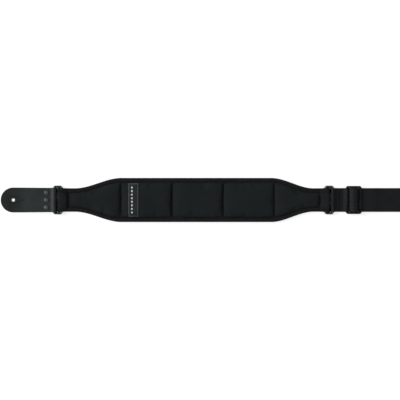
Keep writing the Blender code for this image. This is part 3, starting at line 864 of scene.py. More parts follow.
def tuck_shade(x, y, binding_width):
    """How deep the painted shade is in the patchy crease where the cover goes under its binding, from 0 to
    1; deeper at the lower binding.
    """
    share = TUCK_LOWER if y < 0.0 else TUCK_UPPER
    patchy = 0.75 + 0.5 * noise.noise((x / TUCK_PITCH, share, 2.0))
    return min(share * patchy, 1.0) * hump(pad_half_width(x) - binding_width - abs(y), TUCK_WIDTH)


def pad_crown(x, y, binding_width):
    """How full the pad is at (x, y), from 0 to 1; each seam puckers along its length."""
    near = min(range(len(SEAMS)), key=lambda k: abs(x - SEAMS[k]))
    pucker = 1 + PUCKER * noise.noise((y / PUCKER_PITCH, near * 5.1, 3.0))
    risen = rise(abs(x - SEAMS[near]) * pucker)
    from_binding = rise(pad_half_width(x) - binding_width - abs(y))
    return mix(1.0, risen, SEAM_DEPTHS[near]) * from_binding


def tail_arc(seam_x, low, end_x, high):
    """A tail's rounded top, steep at its seam and level at its loop."""
    made = []
    for angle in spread(TAIL_ARC, 0.0, 14):
        along = math.sin(angle) / math.sin(TAIL_ARC)
        fall = (1 - math.cos(angle)) / (1 - math.cos(TAIL_ARC))
        made.append((mix(end_x, seam_x, along), mix(high, low, fall)))
    return made


def tail_path(bar_x, bar_z, seam_x, slack, outward, cover):
    """A tail's middle line from the seam over a ring bar and back below."""
    loop = WIRE + GAP + cover / 2
    end_x = bar_x + outward * slack
    top = EDGE_TOP_Z - cover / 2
    bottom = EDGE_BOTTOM_Z + cover / 2
    return path(
        [(seam_x - outward * TAIL_UNDER_TOP, top - TAIL_SUNK)],
        tail_arc(seam_x, top, end_x, bar_z + loop),
        turn(end_x, bar_z, loop, 90, 90 - outward * 180),
        ramp(bar_x, bar_z - loop, seam_x, bottom),
        [(seam_x - outward * TAIL_UNDER_BOTTOM, bottom)],
        step=TAIL_STEP,
    )


def tail_shift(x, y, seam_x):
    """X of a point of a tail, which follows its seam's wander near it."""
    return x + (seam_shift(x, y) if abs(x - seam_x) < SEAM_NEAR else 0.0)


def run_levels(webbing):
    """Middles of three layers of webbing that lie on each other."""
    return [webbing / 2 + k * (webbing + GAP) for k in range(3)]


def near_run_path(webbing):
    """From the end sewn below, round the right ring and up to the slider's near bar."""
    low, middle, high = run_levels(webbing)
    loop = WIRE + GAP + webbing / 2
    bar_x = RIGHT_WEBBING_BAR
    climb_x = bar_x + NEAR_SEWN
    return path(
        [(bar_x + SEWN_END, low)],
        turn(bar_x, RIGHT_RING_Z, loop, 270, 90),
        ramp(bar_x, RIGHT_RING_Z + loop, bar_x + NEAR_DROP, middle),
        ramp(climb_x, middle - NEAR_PRESSED, climb_x + NEAR_CLIMB, high),
        [(SLIDER_LOW.x + SLIDER_SIDE_BAR / 2 - GAP, high)],
        step=NEAR_STEP,
    )


def arch_path(webbing):
    """Up through the near slot, in half an ellipse over the middle bar and down through the far slot."""
    _, _, high = run_levels(webbing)
    layer = webbing + GAP
    half = SLIDER_MIDDLE_BAR / 2 + GAP + webbing / 2 + layer + ARCH_SLACK
    spring = SLIDER_HIGH.z + GAP + webbing / 2 + layer - ARCH_RISE
    crest = ARCH_RISE + ARCH_LIFT
    round_bar = turn(0, 0, 1, 180, 0, 24)
    return path(
        [(SLIDER_X - SLIDER_FOOT, high)],
        turn(SLIDER_X - half - ARCH_BEND, high + ARCH_BEND, ARCH_BEND, 270, 360, 8),
        [(SLIDER_X + half * c + ARCH_LEAN * s * s, spring + crest * s) for c, s in round_bar],
        turn(SLIDER_X + half + ARCH_BEND, high + ARCH_BEND, ARCH_BEND, 180, 270, 8),
        [(SLIDER_X + SLIDER_FOOT, high)],
    )


def wrap_path(webbing):
    """The webbing's other end, wrapped round the middle bar and sewn to itself."""
    low, middle, _ = run_levels(webbing)
    half = SLIDER_MIDDLE_BAR / 2 + GAP + webbing / 2
    shoulder = SLIDER_HIGH.z + GAP + webbing / 2 - WRAP_CORNER
    return path(
        [(RETURN_SEWN_X, middle)],
        turn(SLIDER_X + half + WRAP_BEND, middle + WRAP_BEND, WRAP_BEND, 270, 180, 8),
        turn(SLIDER_X + half - WRAP_CORNER, shoulder, WRAP_CORNER, 0, 90, 6),
        turn(SLIDER_X - half + WRAP_CORNER, shoulder, WRAP_CORNER, 90, 180, 6),
        turn(SLIDER_X - half + WRAP_BEND, low + WRAP_BEND, WRAP_BEND, 180, 270, 8),
        [(RETURN_END_X, low)],
    )


def far_start_path(webbing):
    """From the slider's far bar, over the sewn end and down to the next layer."""
    _, middle, high = run_levels(webbing)
    down = ramp(RETURN_SEWN_X, high, FAR_START_X, middle + EASED)
    return path([(SLIDER_X + SLIDER_FOOT + GAP, high)], down, step=FAR_STEP)


def far_turn_path(webbing):
    """Up to the far ring, round its bar and back below."""
    low, middle, _ = run_levels(webbing)
    loop = WIRE + GAP + webbing / 2
    return path(
        ramp(FAR_TURN_X, middle, FAR_WEBBING_BAR, FAR_RING_Z + loop),
        turn(FAR_WEBBING_BAR, FAR_RING_Z, loop, 90, -90),
        ramp(FAR_WEBBING_BAR, FAR_RING_Z - loop, FAR_TURN_X, low),
        step=FAR_STEP,
    )


# Settings that a user would change


def number(name, description, value, **more):
    return bpy.props.FloatProperty(name=name, description=description, default=value, **more)


def length(name, description, millimetres):
    return number(name, description, millimetres * MM, unit="LENGTH", precision=5)


def colour(name, description, value):
    return bpy.props.FloatVectorProperty(
        name=name, description=description, default=value, subtype="COLOR", min=0, max=1
    )


class StrapSizes(bpy.types.PropertyGroup):
    leather: length("Leather", "Thickness of the end tabs", 2.6)
    hole: length("Button hole", "Diameter of the hole for a strap button", 8.0)
    crease: length("Crease", "Depth of the drop-shaped crease round the hole", 0.35)
    rivet_cap: length("Rivet cap", "Diameter of a rivet's domed cap", 9.6)
    rivet_dome: length("Rivet dome", "Height of a rivet's cap", 2.2)
    cover: length("Cover", "Thickness of the pad's cloth at its tails", 1.1)
    crown: length("Crown", "Rise of a stuffed panel above its seams", 4.8)
    binding_width: length("Binding width", "How far the binding reaches in from the edge", 9.6)
    binding: length("Binding", "Thickness of the binding tape", 0.8)
    webbing: length("Webbing", "Thickness of the webbing", 1.6)
    label_border: length("Label border", "Width of the label's pale border", 1.5)
    stitch_length: length("Stitch length", "Length of one stitch", 2.7)
    stitch_gap: length("Stitch gap", "Space between two stitches", 0.8)
    thread: length("Thread", "Thickness of the sewing thread", 0.7)


class StrapColours(bpy.types.PropertyGroup):
    leather: colour("Leather", "Colour of the end tabs", (0.0174, 0.0209, 0.0209))
    cover: colour("Cover", "Colour of the pad's cloth", (0.0134, 0.016, 0.0162))
    binding: colour("Binding", "Colour of the binding tape", (0.0108, 0.0114, 0.0121))
    webbing: colour("Webbing", "Colour of the webbing", (0.0071, 0.0084, 0.0091))
    ring: colour("Rings", "Colour of the rings", (0.055, 0.059, 0.06))
    steel: colour("Slider", "Colour of the slider", (0.0095, 0.0101, 0.0106))
    rivet: colour("Rivets", "Colour of the rivets", (0.056, 0.0615, 0.0615))
    thread: colour("Thread", "Colour of the sewing thread", (0.003, 0.0033, 0.0035))
    patch: colour("Label", "Colour of the label's ground", (0.0165, 0.02, 0.02))
    patch_border: colour("Label border", "Colour of the label's border", (0.125, 0.137, 0.137))
    patch_motif: colour("Label motif", "Colour of the label's lozenges", (0.68, 0.71, 0.71))


class StrapStudio(bpy.types.PropertyGroup):
    lens: number("Lens", "Focal length of the camera", 100.0, unit="CAMERA")
    frame_width: length("Picture width", "Width of the floor that the picture shows", 860.0)
    picture_x: length("Picture middle", "Place along the strap at the picture's middle", -161.7)
    key: number("Key light", "Power of the large, low lamp at the left", 1200.0, unit="POWER")
    fill: number("Fill light", "Power of the large lamp at the lower right", 18.0, unit="POWER")
    sky: number("Sky", "Strength of the even light from all round", 0.21)


# Pieces


class Maker:
    """What the operators that make pieces share."""

    def execute(self, context):
        self.make(context.scene.strap_sizes, context.scene.strap_colours)
        return {"FINISHED"}


class STRAP_OT_leather_tabs(Maker, bpy.types.Operator):
    """Make the two leather end tabs with their button holes and creases"""

    bl_idname = "strap.leather_tabs"
    bl_label = "Leather Tabs"

    def keyhole_cutters(self, radius, height):
        hole = bmesh.new()
        size = {"radius1": radius, "radius2": radius, "depth": height, "segments": 32}
        bmesh.ops.create_cone(hole, cap_ends=True, matrix=Matrix.Translation((HOLE_X, 0, 0)), **size)
        slit = bmesh.new()
        reach = SLIT_LENGTH + radius
        bmesh.ops.create_cube(slit, size=1.0)
        bmesh.ops.scale(slit, vec=(reach, SLIT_WIDTH, height), verts=slit.verts)
        upright = [e for e in slit.edges if abs(e.verts[0].co.z - e.verts[1].co.z) > height / 2]
        bevel(slit, upright, SLIT_WIDTH * 0.3, 2)
        bmesh.ops.translate(slit, vec=(HOLE_X - reach / 2, 0, 0), verts=slit.verts)
        return [piece("hole_cutter", hole), piece("slit_cutter", slit)]

    def make(self, sizes, colours):
        leather = finish_of(grained_leather, colours.leather)
        floor, _, _ = tab_levels(sizes.leather)
        points = tab_path(sizes.leather)

        def spot(row, column):
            across = from_middle(column, TAB_COLUMNS)
            if row < len(points):
                x, z = points[row]
                return (x, tab_half_width(x) * across, z)
            x, y = tab_tip((row - len(points) + 1) / TAB_TIP_ROWS, across)
            return (x, y, points[-1][1])

        for side, bar_x, bar_z, outward in TABS:
            sheet = grid(len(points) + TAB_TIP_ROWS, TAB_COLUMNS, spot)
            made = piece(f"{side}_leather_tab", sheet, leather)
            thicken(made, sizes.leather)
            round_edges(made, TAB_ROUNDING)
            cutters = self.keyhole_cutters(sizes.hole / 2, 8 * LEFT_RING_Z)
            for cutter in cutters:
                modify(made, "BOOLEAN", operation="DIFFERENCE", object=cutter)
            settle(made)
            for cutter in cutters:
                bpy.data.objects.remove(cutter, do_unlink=True)
            pressed = mark(made, "pressed", lambda place: crease(place, floor + sizes.leather))
            for vert, depth in zip(made.data.vertices, pressed):
                vert.co.z -= sizes.crease * depth.value
            # Painted highlight at the bend and painted shade towards the tip, for the finish to read
            mark(made, "painted_light", rubbing_and_painted_light)
            keep_above(made, floor)
            about = Matrix.Rotation(math.pi if outward < 0 else 0.0, 4, "Z")
            made.data.transform(Matrix.Translation((bar_x, 0, bar_z)) @ about)
            wear(made, f"{side}_tab", "leather", f"{side}_end_tab")


class STRAP_OT_rivets(Maker, bpy.types.Operator):
    """Make the three rivets of each tab, as domed caps and flat backs"""

    bl_idname = "strap.rivets"
    bl_label = "Rivets"

    def cap_profile(self, sizes):
        _, _, upper = tab_levels(sizes.leather)
        seat = upper + sizes.leather / 2 + 0.05 * MM
        inside = seat - 1.0 * MM
        radius = sizes.rivet_cap / 2
        height = sizes.rivet_dome + 0.2 * MM - RIVET_RIM
        crown = [(radius * c, seat + RIVET_RIM + height * s) for c, s in turn(0, 0, 1, 0, 90, 12)]
        crown[-1] = (0.0, crown[-1][1])
        tucked = [(0.0, inside), (radius - 1.2 * MM, inside), (radius - 0.3 * MM, seat)]
        return tucked + [(radius - 0.05 * MM, seat + 0.1 * MM)] + crown

    def back_profile(self, sizes):
        floor, _, _ = tab_levels(sizes.leather)
        radius = sizes.rivet_cap / 2 - 0.4 * MM
        edge = turn(radius - RIVET_BACK_EDGE, floor + RIVET_BACK_EDGE, RIVET_BACK_EDGE, 270, 360, 5)
        dimple = [(0.0, floor + 0.35 * MM), (0.9 * MM, floor + 0.3 * MM), (1.3 * MM, floor)]
        top = floor + RIVET_BACK + GAP
        return dimple + edge + [(radius, top), (0.0, top)]

    def make(self, sizes, colours):
        steel = finish_of(plated_steel, "gunmetal rivet plating", colours.rivet, RIVET_ROUGHNESS)
        cap = ("rivet_dome", "rivet_cap", self.cap_profile(sizes))
        back = ("rivet_foot", "rivet_back", self.back_profile(sizes))
        for side, bar_x, bar_z, outward in TABS:
            for count in (1, 2, 3):
                y = outward * (count - 2) * RIVET_PITCH
                seat = Matrix.Translation((bar_x + outward * RIVET_FROM_BAR, y, bar_z))
                for kind, node, profile in (cap, back):
                    made = piece(f"{side}_{kind}_{count}", turned(profile), steel)
                    made.data.transform(seat)
                    settle(made)
                    wear(made, f"{side}_tab", "rivet", f"{side}_{node}_{count}")


class STRAP_OT_rings(Maker, bpy.types.Operator):
    """Bend the three wire rings"""

    bl_idname = "strap.rings"
    bl_label = "Rings"

    def bend(self, first_bar, second_bar, height):
        """A round wire carried along two bars and two ends, with a bend at each corner."""
        mesh = bmesh.new()
        upright = Matrix.Translation((second_bar, 0, height)) @ Matrix.Rotation(math.pi / 2, 4, "X")
        bmesh.ops.create_circle(mesh, segments=20, radius=WIRE, matrix=upright)
        front = mesh.edges[:]
        low_x, high_x = first_bar + RING_CORNER, second_bar - RING_CORNER
        end_y = RING_HALF_WIDTH - RING_CORNER
        legs = [
            ((0, end_y, 0), (high_x, end_y)),
            ((low_x - high_x, 0, 0), (low_x, end_y)),
            ((0, -2 * end_y, 0), (low_x, -end_y)),
            ((high_x - low_x, 0, 0), (high_x, -end_y)),
        ]
        for leg, corner in legs:
            front = self.carry(mesh, front, leg)
            quarter = {"axis": (0, 0, 1), "cent": (*corner, height), "angle": math.pi / 2, "steps": 10}
            bent = bmesh.ops.spin(mesh, geom=front, **quarter)["geom_last"]
            front = [g for g in bent if isinstance(g, bmesh.types.BMEdge)]
        self.carry(mesh, front, (0, end_y, 0))
        bmesh.ops.remove_doubles(mesh, verts=mesh.verts, dist=0.05 * MM)
        return mesh

    def carry(self, mesh, front, leg):
        """Draws the wire's open end out along a leg."""
        grown = bmesh.ops.extrude_edge_only(mesh, edges=front)["geom"]
        verts = [g for g in grown if isinstance(g, bmesh.types.BMVert)]
        bmesh.ops.translate(mesh, vec=leg, verts=verts)
        return [g for g in grown if isinstance(g, bmesh.types.BMEdge) and set(g.verts) <= set(verts)]

    def make(self, sizes, colours):
        steel = finish_of(plated_steel, "satin nickel plating", colours.ring, SATIN_ROUGHNESS)
        for body in ("left_ring", "right_ring", "far_ring"):
            first_bar, second_bar, height, _ = ring_bars(body)
            made = piece(f"{body}_wire", self.bend(first_bar, second_bar, height), steel)
            settle(made)
            wear(made, body, "steel", body)


class STRAP_OT_pad(Maker, bpy.types.Operator):
    """Sew and stuff the quilted pad"""

    bl_idname = "strap.pad"
    bl_label = "Quilted Pad"

    def rows(self):
        """Stations along the pad, closer together beside the seams."""
        made = []
        for start, end in zip(SEAMS, SEAMS[1:]):
            first, last = start + ROWS_FROM_SEAM, end - ROWS_FROM_SEAM
            made += [start + step for step in ROWS_AT_SEAM]
            made += spread(first, last, round((last - first) / ROW_SPACING))
            made += [end - step for step in reversed(ROWS_AT_SEAM[1:])]
        return made + [SEAMS[-1]]

    def swell(self, made):
        """Lets the covers swell against their seams, as stuffed cloth does."""
        start = [v.co.copy() for v in made.data.vertices]
        settings = made.modifiers.new("swelling", "CLOTH").settings
        for name, value in SWELL_SETTINGS.items():
            setattr(settings, name, value)
        settings.effector_weights.gravity = 0.0
        scene = bpy.context.scene
        for count in range(SWELL_FRAMES):
            scene.frame_set(count + 1)
        seen = made.evaluated_get(bpy.context.evaluated_depsgraph_get())
        ends = [v.co.copy() for v in seen.data.vertices]
        made.modifiers.clear()
        scene.frame_set(1)
        for vert, begin, end in zip(made.data.vertices, start, ends):
            move = end - begin
            if move.length > SWELL_FURTHEST:
                move *= SWELL_FURTHEST / move.length
            vert.co = begin + move

    def make(self, sizes, colours):
        rows = self.rows()
        columns = COLUMNS_INSIDE + 2 * COLUMNS_TUCKED
        close = COLUMNS_AT_BINDING
        bound_width = sizes.binding_width
        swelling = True
        crown = sizes.crown * (CROWN_BEFORE_SWELLING if swelling else 1.0)

        def across(x, column):
            bound = pad_half_width(x) - bound_width
            side = -1 if column < columns / 2 else 1
            place = min(column, columns - 1 - column)
            if place < COLUMNS_TUCKED:
                return side * mix(pad_half_width(x) - TUCKED_TO_EDGE, bound, place / COLUMNS_TUCKED)
            if place - COLUMNS_TUCKED < len(close):
                return side * (bound - close[place - COLUMNS_TUCKED])
            share = (column - COLUMNS_TUCKED - len(close) + 1) / (COLUMNS_INSIDE - 2 * len(close) + 1)
            return (bound - close[-1]) * (2 * share - 1)

        def spot(row, column):
            x = rows[row]
            y = across(x, column)
            return (x, y, EDGE_TOP_Z + crown * pad_crown(x, y, bound_width))

        mesh = grid(len(rows), columns, spot)
        below = bmesh.ops.extrude_face_region(mesh, geom=mesh.faces[:], use_keep_orig=True)["geom"]
        for vert in below:
            if isinstance(vert, bmesh.types.BMVert):
                vert.co.z = EDGE_BOTTOM_Z - BACK_CROWN * pad_crown(vert.co.x, vert.co.y, bound_width)
        sewn = []
        mesh.verts.index_update()
        for vert in mesh.verts:
            x, y = vert.co.x, vert.co.y
            on_seam = min(abs(x - seam) for seam in SEAMS) < 0.1 * MM
            if on_seam or abs(y) > pad_half_width(x) - bound_width - 0.2 * MM:
                sewn.append(vert.index)
            vert.co.x += seam_shift(x, y)
        made = piece("quilted_pad", mesh, finish_of(woven_nylon, colours.cover))
        # Painted shade beside the seams and in the crease along the bindings
        mark(made, "painted_shade", lambda place: max(seam_shade(place.x, place.y), tuck_shade(place.x, place.y, bound_width)))
        made.vertex_groups.new(name="sewn down").add(sewn, 1.0, "REPLACE")
        if swelling:
            self.swell(made)
        keep_above(made, PAD_LOWEST)
        made.vertex_groups.clear()
        modify(made, "SUBSURF", levels=1, render_levels=1)
        settle(made, 60)
        foam = [f"pad_foam_{count}" for count in range(1, 6)]
        wear(made, "pad", "cover", "pad_face_cover", "pad_back_cover", *foam)


class STRAP_OT_pad_loops(Maker, bpy.types.Operator):
    """Make the pad's two tails, looped round their ring bars, with their edge trim"""

    bl_idname = "strap.pad_loops"
    bl_label = "Pad Loops"

    def make(self, sizes, colours):
        nylon = finish_of(woven_nylon, colours.cover)
        tape = finish_of(ribbed_tape, colours.binding)
        half = sizes.cover / 2
        section = [
            (sizes.binding_width, half),
            (sizes.binding_width - 0.3 * MM, half + 0.22 * MM),
            (sizes.binding_width / 2, half + 0.3 * MM),
            (1.2 * MM, half + 0.26 * MM),
            (0.35 * MM, half - 0.1 * MM),
            (0.2 * MM, 0.0),
            (0.35 * MM, -half * 0.8),
        ]
        places = [
            ("left", LEFT_PAD_BAR, LEFT_RING_Z, LEFT_SEAM, LEFT_SLACK, -1),
            ("right", RIGHT_PAD_BAR, RIGHT_RING_Z, RIGHT_SEAM, RIGHT_SLACK, 1),
        ]
        for side, bar_x, bar_z, seam_x, slack, outward in places:
            points = tail_path(bar_x, bar_z, seam_x, slack, outward, sizes.cover)
            normals = [(x * -outward, z * -outward) for x, z in sideways(points)]

            def spot(row, column):
                x, z = points[row]
                y = TAIL_CLOTH * from_middle(column, TAIL_COLUMNS)
                return (tail_shift(x, y, seam_x), y, z)

            made = piece(f"{side}_pad_loop", grid(len(points), TAIL_COLUMNS, spot), nylon)
            # Painted shade beside the tail's seam
            mark(made, "painted_shade", lambda place: seam_shade(place.x, place.y))
            thicken(made, sizes.cover)
            round_edges(made, 0.4 * MM)
            settle(made)
            wear(made, "pad", "cover", "pad_face_cover")
            for edge, sign in (("upper", 1), ("lower", -1)):

                def trim_spot(row, column):
                    inset, lift = section[column]
                    x, z = points[row]
                    normal_x, normal_z = normals[row]
                    y = sign * (TAIL_WIDTH / 2 - inset)
                    return (tail_shift(x, y, seam_x) - normal_x * lift, y, z - normal_z * lift)

                trim = piece(f"{side}_loop_trim_{edge}", grid(len(points), len(section), trim_spot), tape)
                thicken(trim, TRIM_THICKNESS)
                round_edges(trim, 0.12 * MM, 2)
                settle(trim)
                wear(trim, "pad", "binding")


class STRAP_OT_bindings(Maker, bpy.types.Operator):
    """Fold the binding tape round the pad's two long edges"""

    bl_idname = "strap.bindings"
    bl_label = "Bindings"

    def section(self, width, half):
        """The tape's middle line as (inset, z) points, from the cover over the edge and back below."""
        top = BINDING_TOP_Z - half
        upper_half = [
            (width, top - 0.75 * MM),
            (width - 0.7 * MM, top - 0.5 * MM),
            (width - 1.6 * MM, top - 0.35 * MM),
            (width - 3.0 * MM, top - 0.08 * MM),
            (3.2 * MM, top),
            (2.0 * MM, top - 0.15 * MM),
            (1.1 * MM, top - 0.6 * MM),
            (half + 0.1 * MM, top - 1.4 * MM),
        ]
        lower_half = [(inset, BINDING_TOP_Z - z) for inset, z in reversed(upper_half)]
        return upper_half + [(half, BINDING_TOP_Z / 2)] + lower_half

    def make(self, sizes, colours):
        tape = finish_of(ribbed_tape, colours.binding)
        width = sizes.binding_width
        first, last = LEFT_SEAM + TAPE_FROM_SEAM, RIGHT_SEAM - TAPE_FROM_SEAM
        rows = spread(first, last, round((last - first) / TAPE_SPACING))
        section = self.section(width, sizes.binding / 2)
        middle = BINDING_TOP_Z / 2
        for node, side in (("binding_upper", 1), ("binding_lower", -1)):

            def spot(row, column):
                inset, z = section[column]
                x = rows[row]
                uneven = 1.3 * noise.noise((x * 60, side, 0))
                pucker = TAPE_PUCKER * math.sin(x / TAPE_PUCKER_PITCH * 2 * math.pi + uneven)
                wander = TAPE_WANDER * noise.noise((x * 45, side * 3.7, 1.0))
                inner = max(inset - TAPE_STRAIGHT, 0.0) / width
                rounded = 1 - abs(z - middle) / middle
                y = pad_half_width(x) - inset + wander * inner - max(pucker, 0.0) * rounded
                outward = 1 if z > middle else -1
                bulge = pucker * 0.5 * outward * (1 - inner) * (1 - rounded)
                return (x, side * y, z + bulge - TAPE_LOWERED)

            made = piece(f"{node}_tape", grid(len(rows), len(section), spot), tape)
            thicken(made, sizes.binding)
            round_edges(made, 0.2 * MM, 2, 60)
            settle(made, 50)
            keep_above(made, 0.0)
            # Painted shade in the crease at the tape's inner edge
            mark(made, "painted_shade", lambda place: tuck_shade(place.x, place.y, width))
            wear(made, "pad", "binding", node)


class STRAP_OT_label(Maker, bpy.types.Operator):
    """Weave the label with its grey border and plain row of pale lozenges"""

    bl_idname = "strap.label"
    bl_label = "Label"

    def lines(self, low, high, border, count):
        """Where the sheet is divided: at its edges, at its border and evenly inside."""
        first, last = low + LABEL_MARGIN, high - LABEL_MARGIN
        return [low, first] + spread(first + border, last - border, count) + [last, high]

    def make(self, sizes, colours):
        ground = finish_of(woven_patch, "black label cloth", colours.patch)
        grey = finish_of(woven_patch, "grey label border", colours.patch_border)
        pale = finish_of(woven_patch, "pale label thread", colours.patch_motif)
        pad = surface("quilted_pad")
        border = sizes.label_border
        xs = self.lines(LABEL_LOW.x, LABEL_HIGH.x, border, 9)
        ys = self.lines(LABEL_LOW.y, LABEL_HIGH.y, border, 36)

        def spot(row, column):
            x, y = xs[row], ys[column]
            return (x, y, drop(pad, x, y)[0].z + LABEL_THICKNESS / 2 + 0.02 * MM)

        mesh = grid(len(xs), len(ys), spot)
        bmesh.ops.smooth_vert(mesh, verts=mesh.verts, factor=0.3, use_axis_z=True)
        raised = set()
        for face in mesh.faces:
            centre = face.calc_center_median()
            from_edge = min(*(centre - LABEL_LOW).xy, *(LABEL_HIGH - centre).xy)
            if LABEL_MARGIN < from_edge < LABEL_MARGIN + border:
                raised.update(face.verts)
                face.material_index = 1
        bmesh.ops.translate(mesh, vec=(0, 0, LABEL_RAISED), verts=list(raised))
        made = piece("woven_label", mesh, ground, grey)
        thicken(made, LABEL_THICKNESS)
        round_edges(made, 0.15 * MM, 2)
        settle(made)
        wear(made, "pad", "patch", "pad_label")

        cloth = surface("woven_label")
        motif = bmesh.new()
        row_x = mix(LABEL_LOW.x, LABEL_HIGH.x, LOZENGE_ROW)
        size = {"radius1": LOZENGE_FOOT, "radius2": LOZENGE_TOP, "depth": LOZENGE_HEIGHT, "segments": 4}
        for y in spread(LABEL_LOW.y + LOZENGE_FROM_END, LABEL_HIGH.y - LOZENGE_FROM_END, LOZENGES - 1):
            place = Matrix.Translation((row_x, y, 0)) @ Matrix.Diagonal((0.85, 1.1, 1.0, 1.0))
            lozenge = bmesh.ops.create_cone(motif, cap_ends=True, matrix=place, **size)
            edges = {e for v in lozenge["verts"] for e in v.link_edges}
            bevel(motif, [e for e in edges if e.calc_length() > 1 * MM], LOZENGE_ROUNDING, 2)
        for vert in motif.verts:
            vert.co.z += drop(cloth, vert.co.x, vert.co.y)[0].z
        shapes = piece("label_lozenges", motif, pale)
        settle(shapes)
        wear(shapes, "pad", "patch")


class STRAP_OT_webbing(Maker, bpy.types.Operator):
    """Thread the webbing from the right ring through the slider, round the far ring and back"""

    bl_idname = "strap.webbing"
    bl_label = "Webbing"

    def make(self, sizes, colours):
        webbing = sizes.webbing
        weave = finish_of(herringbone_webbing, colours.webbing)
        near = strip("webbing_near_run", near_run_path(webbing), webbing, weave)
        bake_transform(near)
        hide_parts("webbing_sewn_end")

        def lay(name, points, body, node):
            made = strip(name, points, webbing, weave)
            wear(made, body, "webbing", node)
            return made

        lay("webbing_far_start", far_start_path(webbing), "slider", "webbing_upper_run")
        lay("webbing_far_loop", far_turn_path(webbing), "far_turn", "webbing_far_turn")

        # The two straight runs, from the slider's side to the far turn, ride on the slider
        low, middle, _ = run_levels(webbing)
        runs = [
            ("webbing_far_run", FAR_START_X, middle + EASED, middle, "webbing_upper_run"),
            ("webbing_return_run", RETURN_END_X + CUT, low, low, "webbing_return_run"),
        ]
        for name, from_x, from_z, to_z, node in runs:
            line = path([(from_x, from_z), (FAR_TURN_X, to_z)], step=STRAIGHT_STEP)
            run = lay(f"{name}_strip", line, "slider", node)
            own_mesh(run)

        lay("webbing_arch", arch_path(webbing), "slider", "webbing_over_slider")
        lay("webbing_wrap", wrap_path(webbing), "slider", "webbing_return_end")


class STRAP_OT_slider(Maker, bpy.types.Operator):
    """Cast the slider with its two slots and rounded bars"""

    bl_idname = "strap.slider"
    bl_label = "Slider"

    def outline(self, mesh, middle, length, width, corner, outward, section):
        """Carries a rounded outline down through a section of (inset, z) points."""
        loops = []
        for inset, z in section:
            grow = outward * inset
            rim = rounded_rectangle(length + 2 * grow, width + 2 * grow, corner + grow)
            verts = [mesh.verts.new((middle + x, y, z)) for x, y in rim]
            loops.append([mesh.edges.new(pair) for pair in zip(verts, verts[1:] + verts[:1])])
        for here, following in zip(loops, loops[1:]):
            bmesh.ops.bridge_loops(mesh, edges=here + following)
        return loops[0], loops[-1]

    def make(self, sizes, colours):
        steel = finish_of(plated_steel, "black nickel plating", colours.steel, SATIN_ROUGHNESS)
        length, width, height = SLIDER_HIGH - SLIDER_LOW
        edge = turn(SLIDER_ROUNDING, height / 2 - SLIDER_ROUNDING, SLIDER_ROUNDING, 180, 90, 6)
        section = [(inset, -z) for inset, z in reversed(edge)] + edge
        opening = width - 2 * SLIDER_END_BAR
        slot_x = (SLIDER_MIDDLE_BAR + SLIDER_SLOT) / 2
        mesh = bmesh.new()
        rims = [self.outline(mesh, 0.0, length, width, SLIDER_CORNER, -1, section)]
        for x in (-slot_x, slot_x):
            rims.append(self.outline(mesh, x, SLIDER_SLOT, opening, SLIDER_SLOT_CORNER, 1, section))
        for face in zip(*rims):
            bmesh.ops.triangle_fill(mesh, edges=[e for rim in face for e in rim], use_beauty=True)
        made = piece("slider_frame", mesh, steel)
        settle(made)
        made.data.transform(Matrix.Translation((SLIDER_LOW + SLIDER_HIGH) / 2))
        wear(made, "slider", "steel", "slider")


class STRAP_OT_stitching(Maker, bpy.types.Operator):
    """Sew the channels, bindings, tails, label and webbing"""

    bl_idname = "strap.stitching"
    bl_label = "Stitching"

    def make(self, sizes, colours):
        thread = finish_of(twisted_thread, colours.thread)

        def seam(name, body, onto, lines, *sides):
            """One piece of stitches along some lines, on the given sides of a surface."""
            mesh = bmesh.new()
            for line in lines:
                for side, lift in sides:
                    sew(mesh, onto, line, sizes, side, lift)
            made = piece(name, mesh, thread)
            settle(made, 80)
            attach(made, body)

        def crossing(seam_x, offset, reach, steps):
            """A line across the pad beside a seam, which it follows as it wanders."""
            ys = spread(-reach, reach, steps)
            return [(seam_x + offset + seam_shift(seam_x, y), y) for y in ys]

        lines = []
        for channel in CHANNELS:
            reach = pad_half_width(channel) - sizes.binding_width - CHANNEL_TO_BINDING
            lines.append(crossing(channel, 0.0, reach, 40))
        seam("channel_stitching", "pad", surface("quilted_pad"), lines, ABOVE, BELOW)

        inset = sizes.binding_width - BINDING_TO_STITCH
        xs = spread(LEFT_SEAM + BINDING_STITCH_END, RIGHT_SEAM - BINDING_STITCH_END, 180)
        for edge, sign in (("upper", 1), ("lower", -1)):
            line = [(x, sign * (pad_half_width(x) - inset)) for x in xs]
            tape = surface(f"binding_{edge}_tape")
            seam(f"binding_{edge}_stitching", "pad", tape, [line], ABOVE, BELOW_DRAWN_IN)

        reach = TAIL_WIDTH / 2 - sizes.binding_width - TAIL_TO_BINDING
        for name, seam_x, outward in (("left", LEFT_SEAM, -1), ("right", RIGHT_SEAM, 1)):
            lines = [crossing(seam_x, outward * offset, reach, 20) for offset in TAIL_STITCHES]
            loop = surface(f"{name}_pad_loop", "quilted_pad")
            seam(f"{name}_tail_stitching", "pad", loop, lines, ABOVE, BELOW_DRAWN_IN)

        low_x, high_x = LABEL_LOW.x + LABEL_TO_STITCH, LABEL_HIGH.x - LABEL_TO_STITCH
        low_y, high_y = LABEL_LOW.y + LABEL_TO_STITCH, LABEL_HIGH.y - LABEL_TO_STITCH
        corners = [(low_x, low_y), (high_x, low_y), (high_x, high_y), (low_x, high_y)]
        lines = list(zip(corners, corners[1:] + corners[:1]))
        seam("label_stitching", "pad", surface("woven_label"), lines, ABOVE)

        reach = STRAP_HALF_WIDTH - WEBBING_TO_STITCH
        lines = [((x, -reach), (x, reach)) for x in NEAR_STITCHES]
        seam("near_run_stitching", "webbing", surface("webbing_near_run"), lines, ABOVE, BELOW_DRAWN_IN)
        lines = [((x, -reach), (x, reach)) for x in RETURN_STITCHES]
        seam("wrap_stitching", "slider", surface("webbing_wrap"), lines, BELOW_DRAWN_IN)


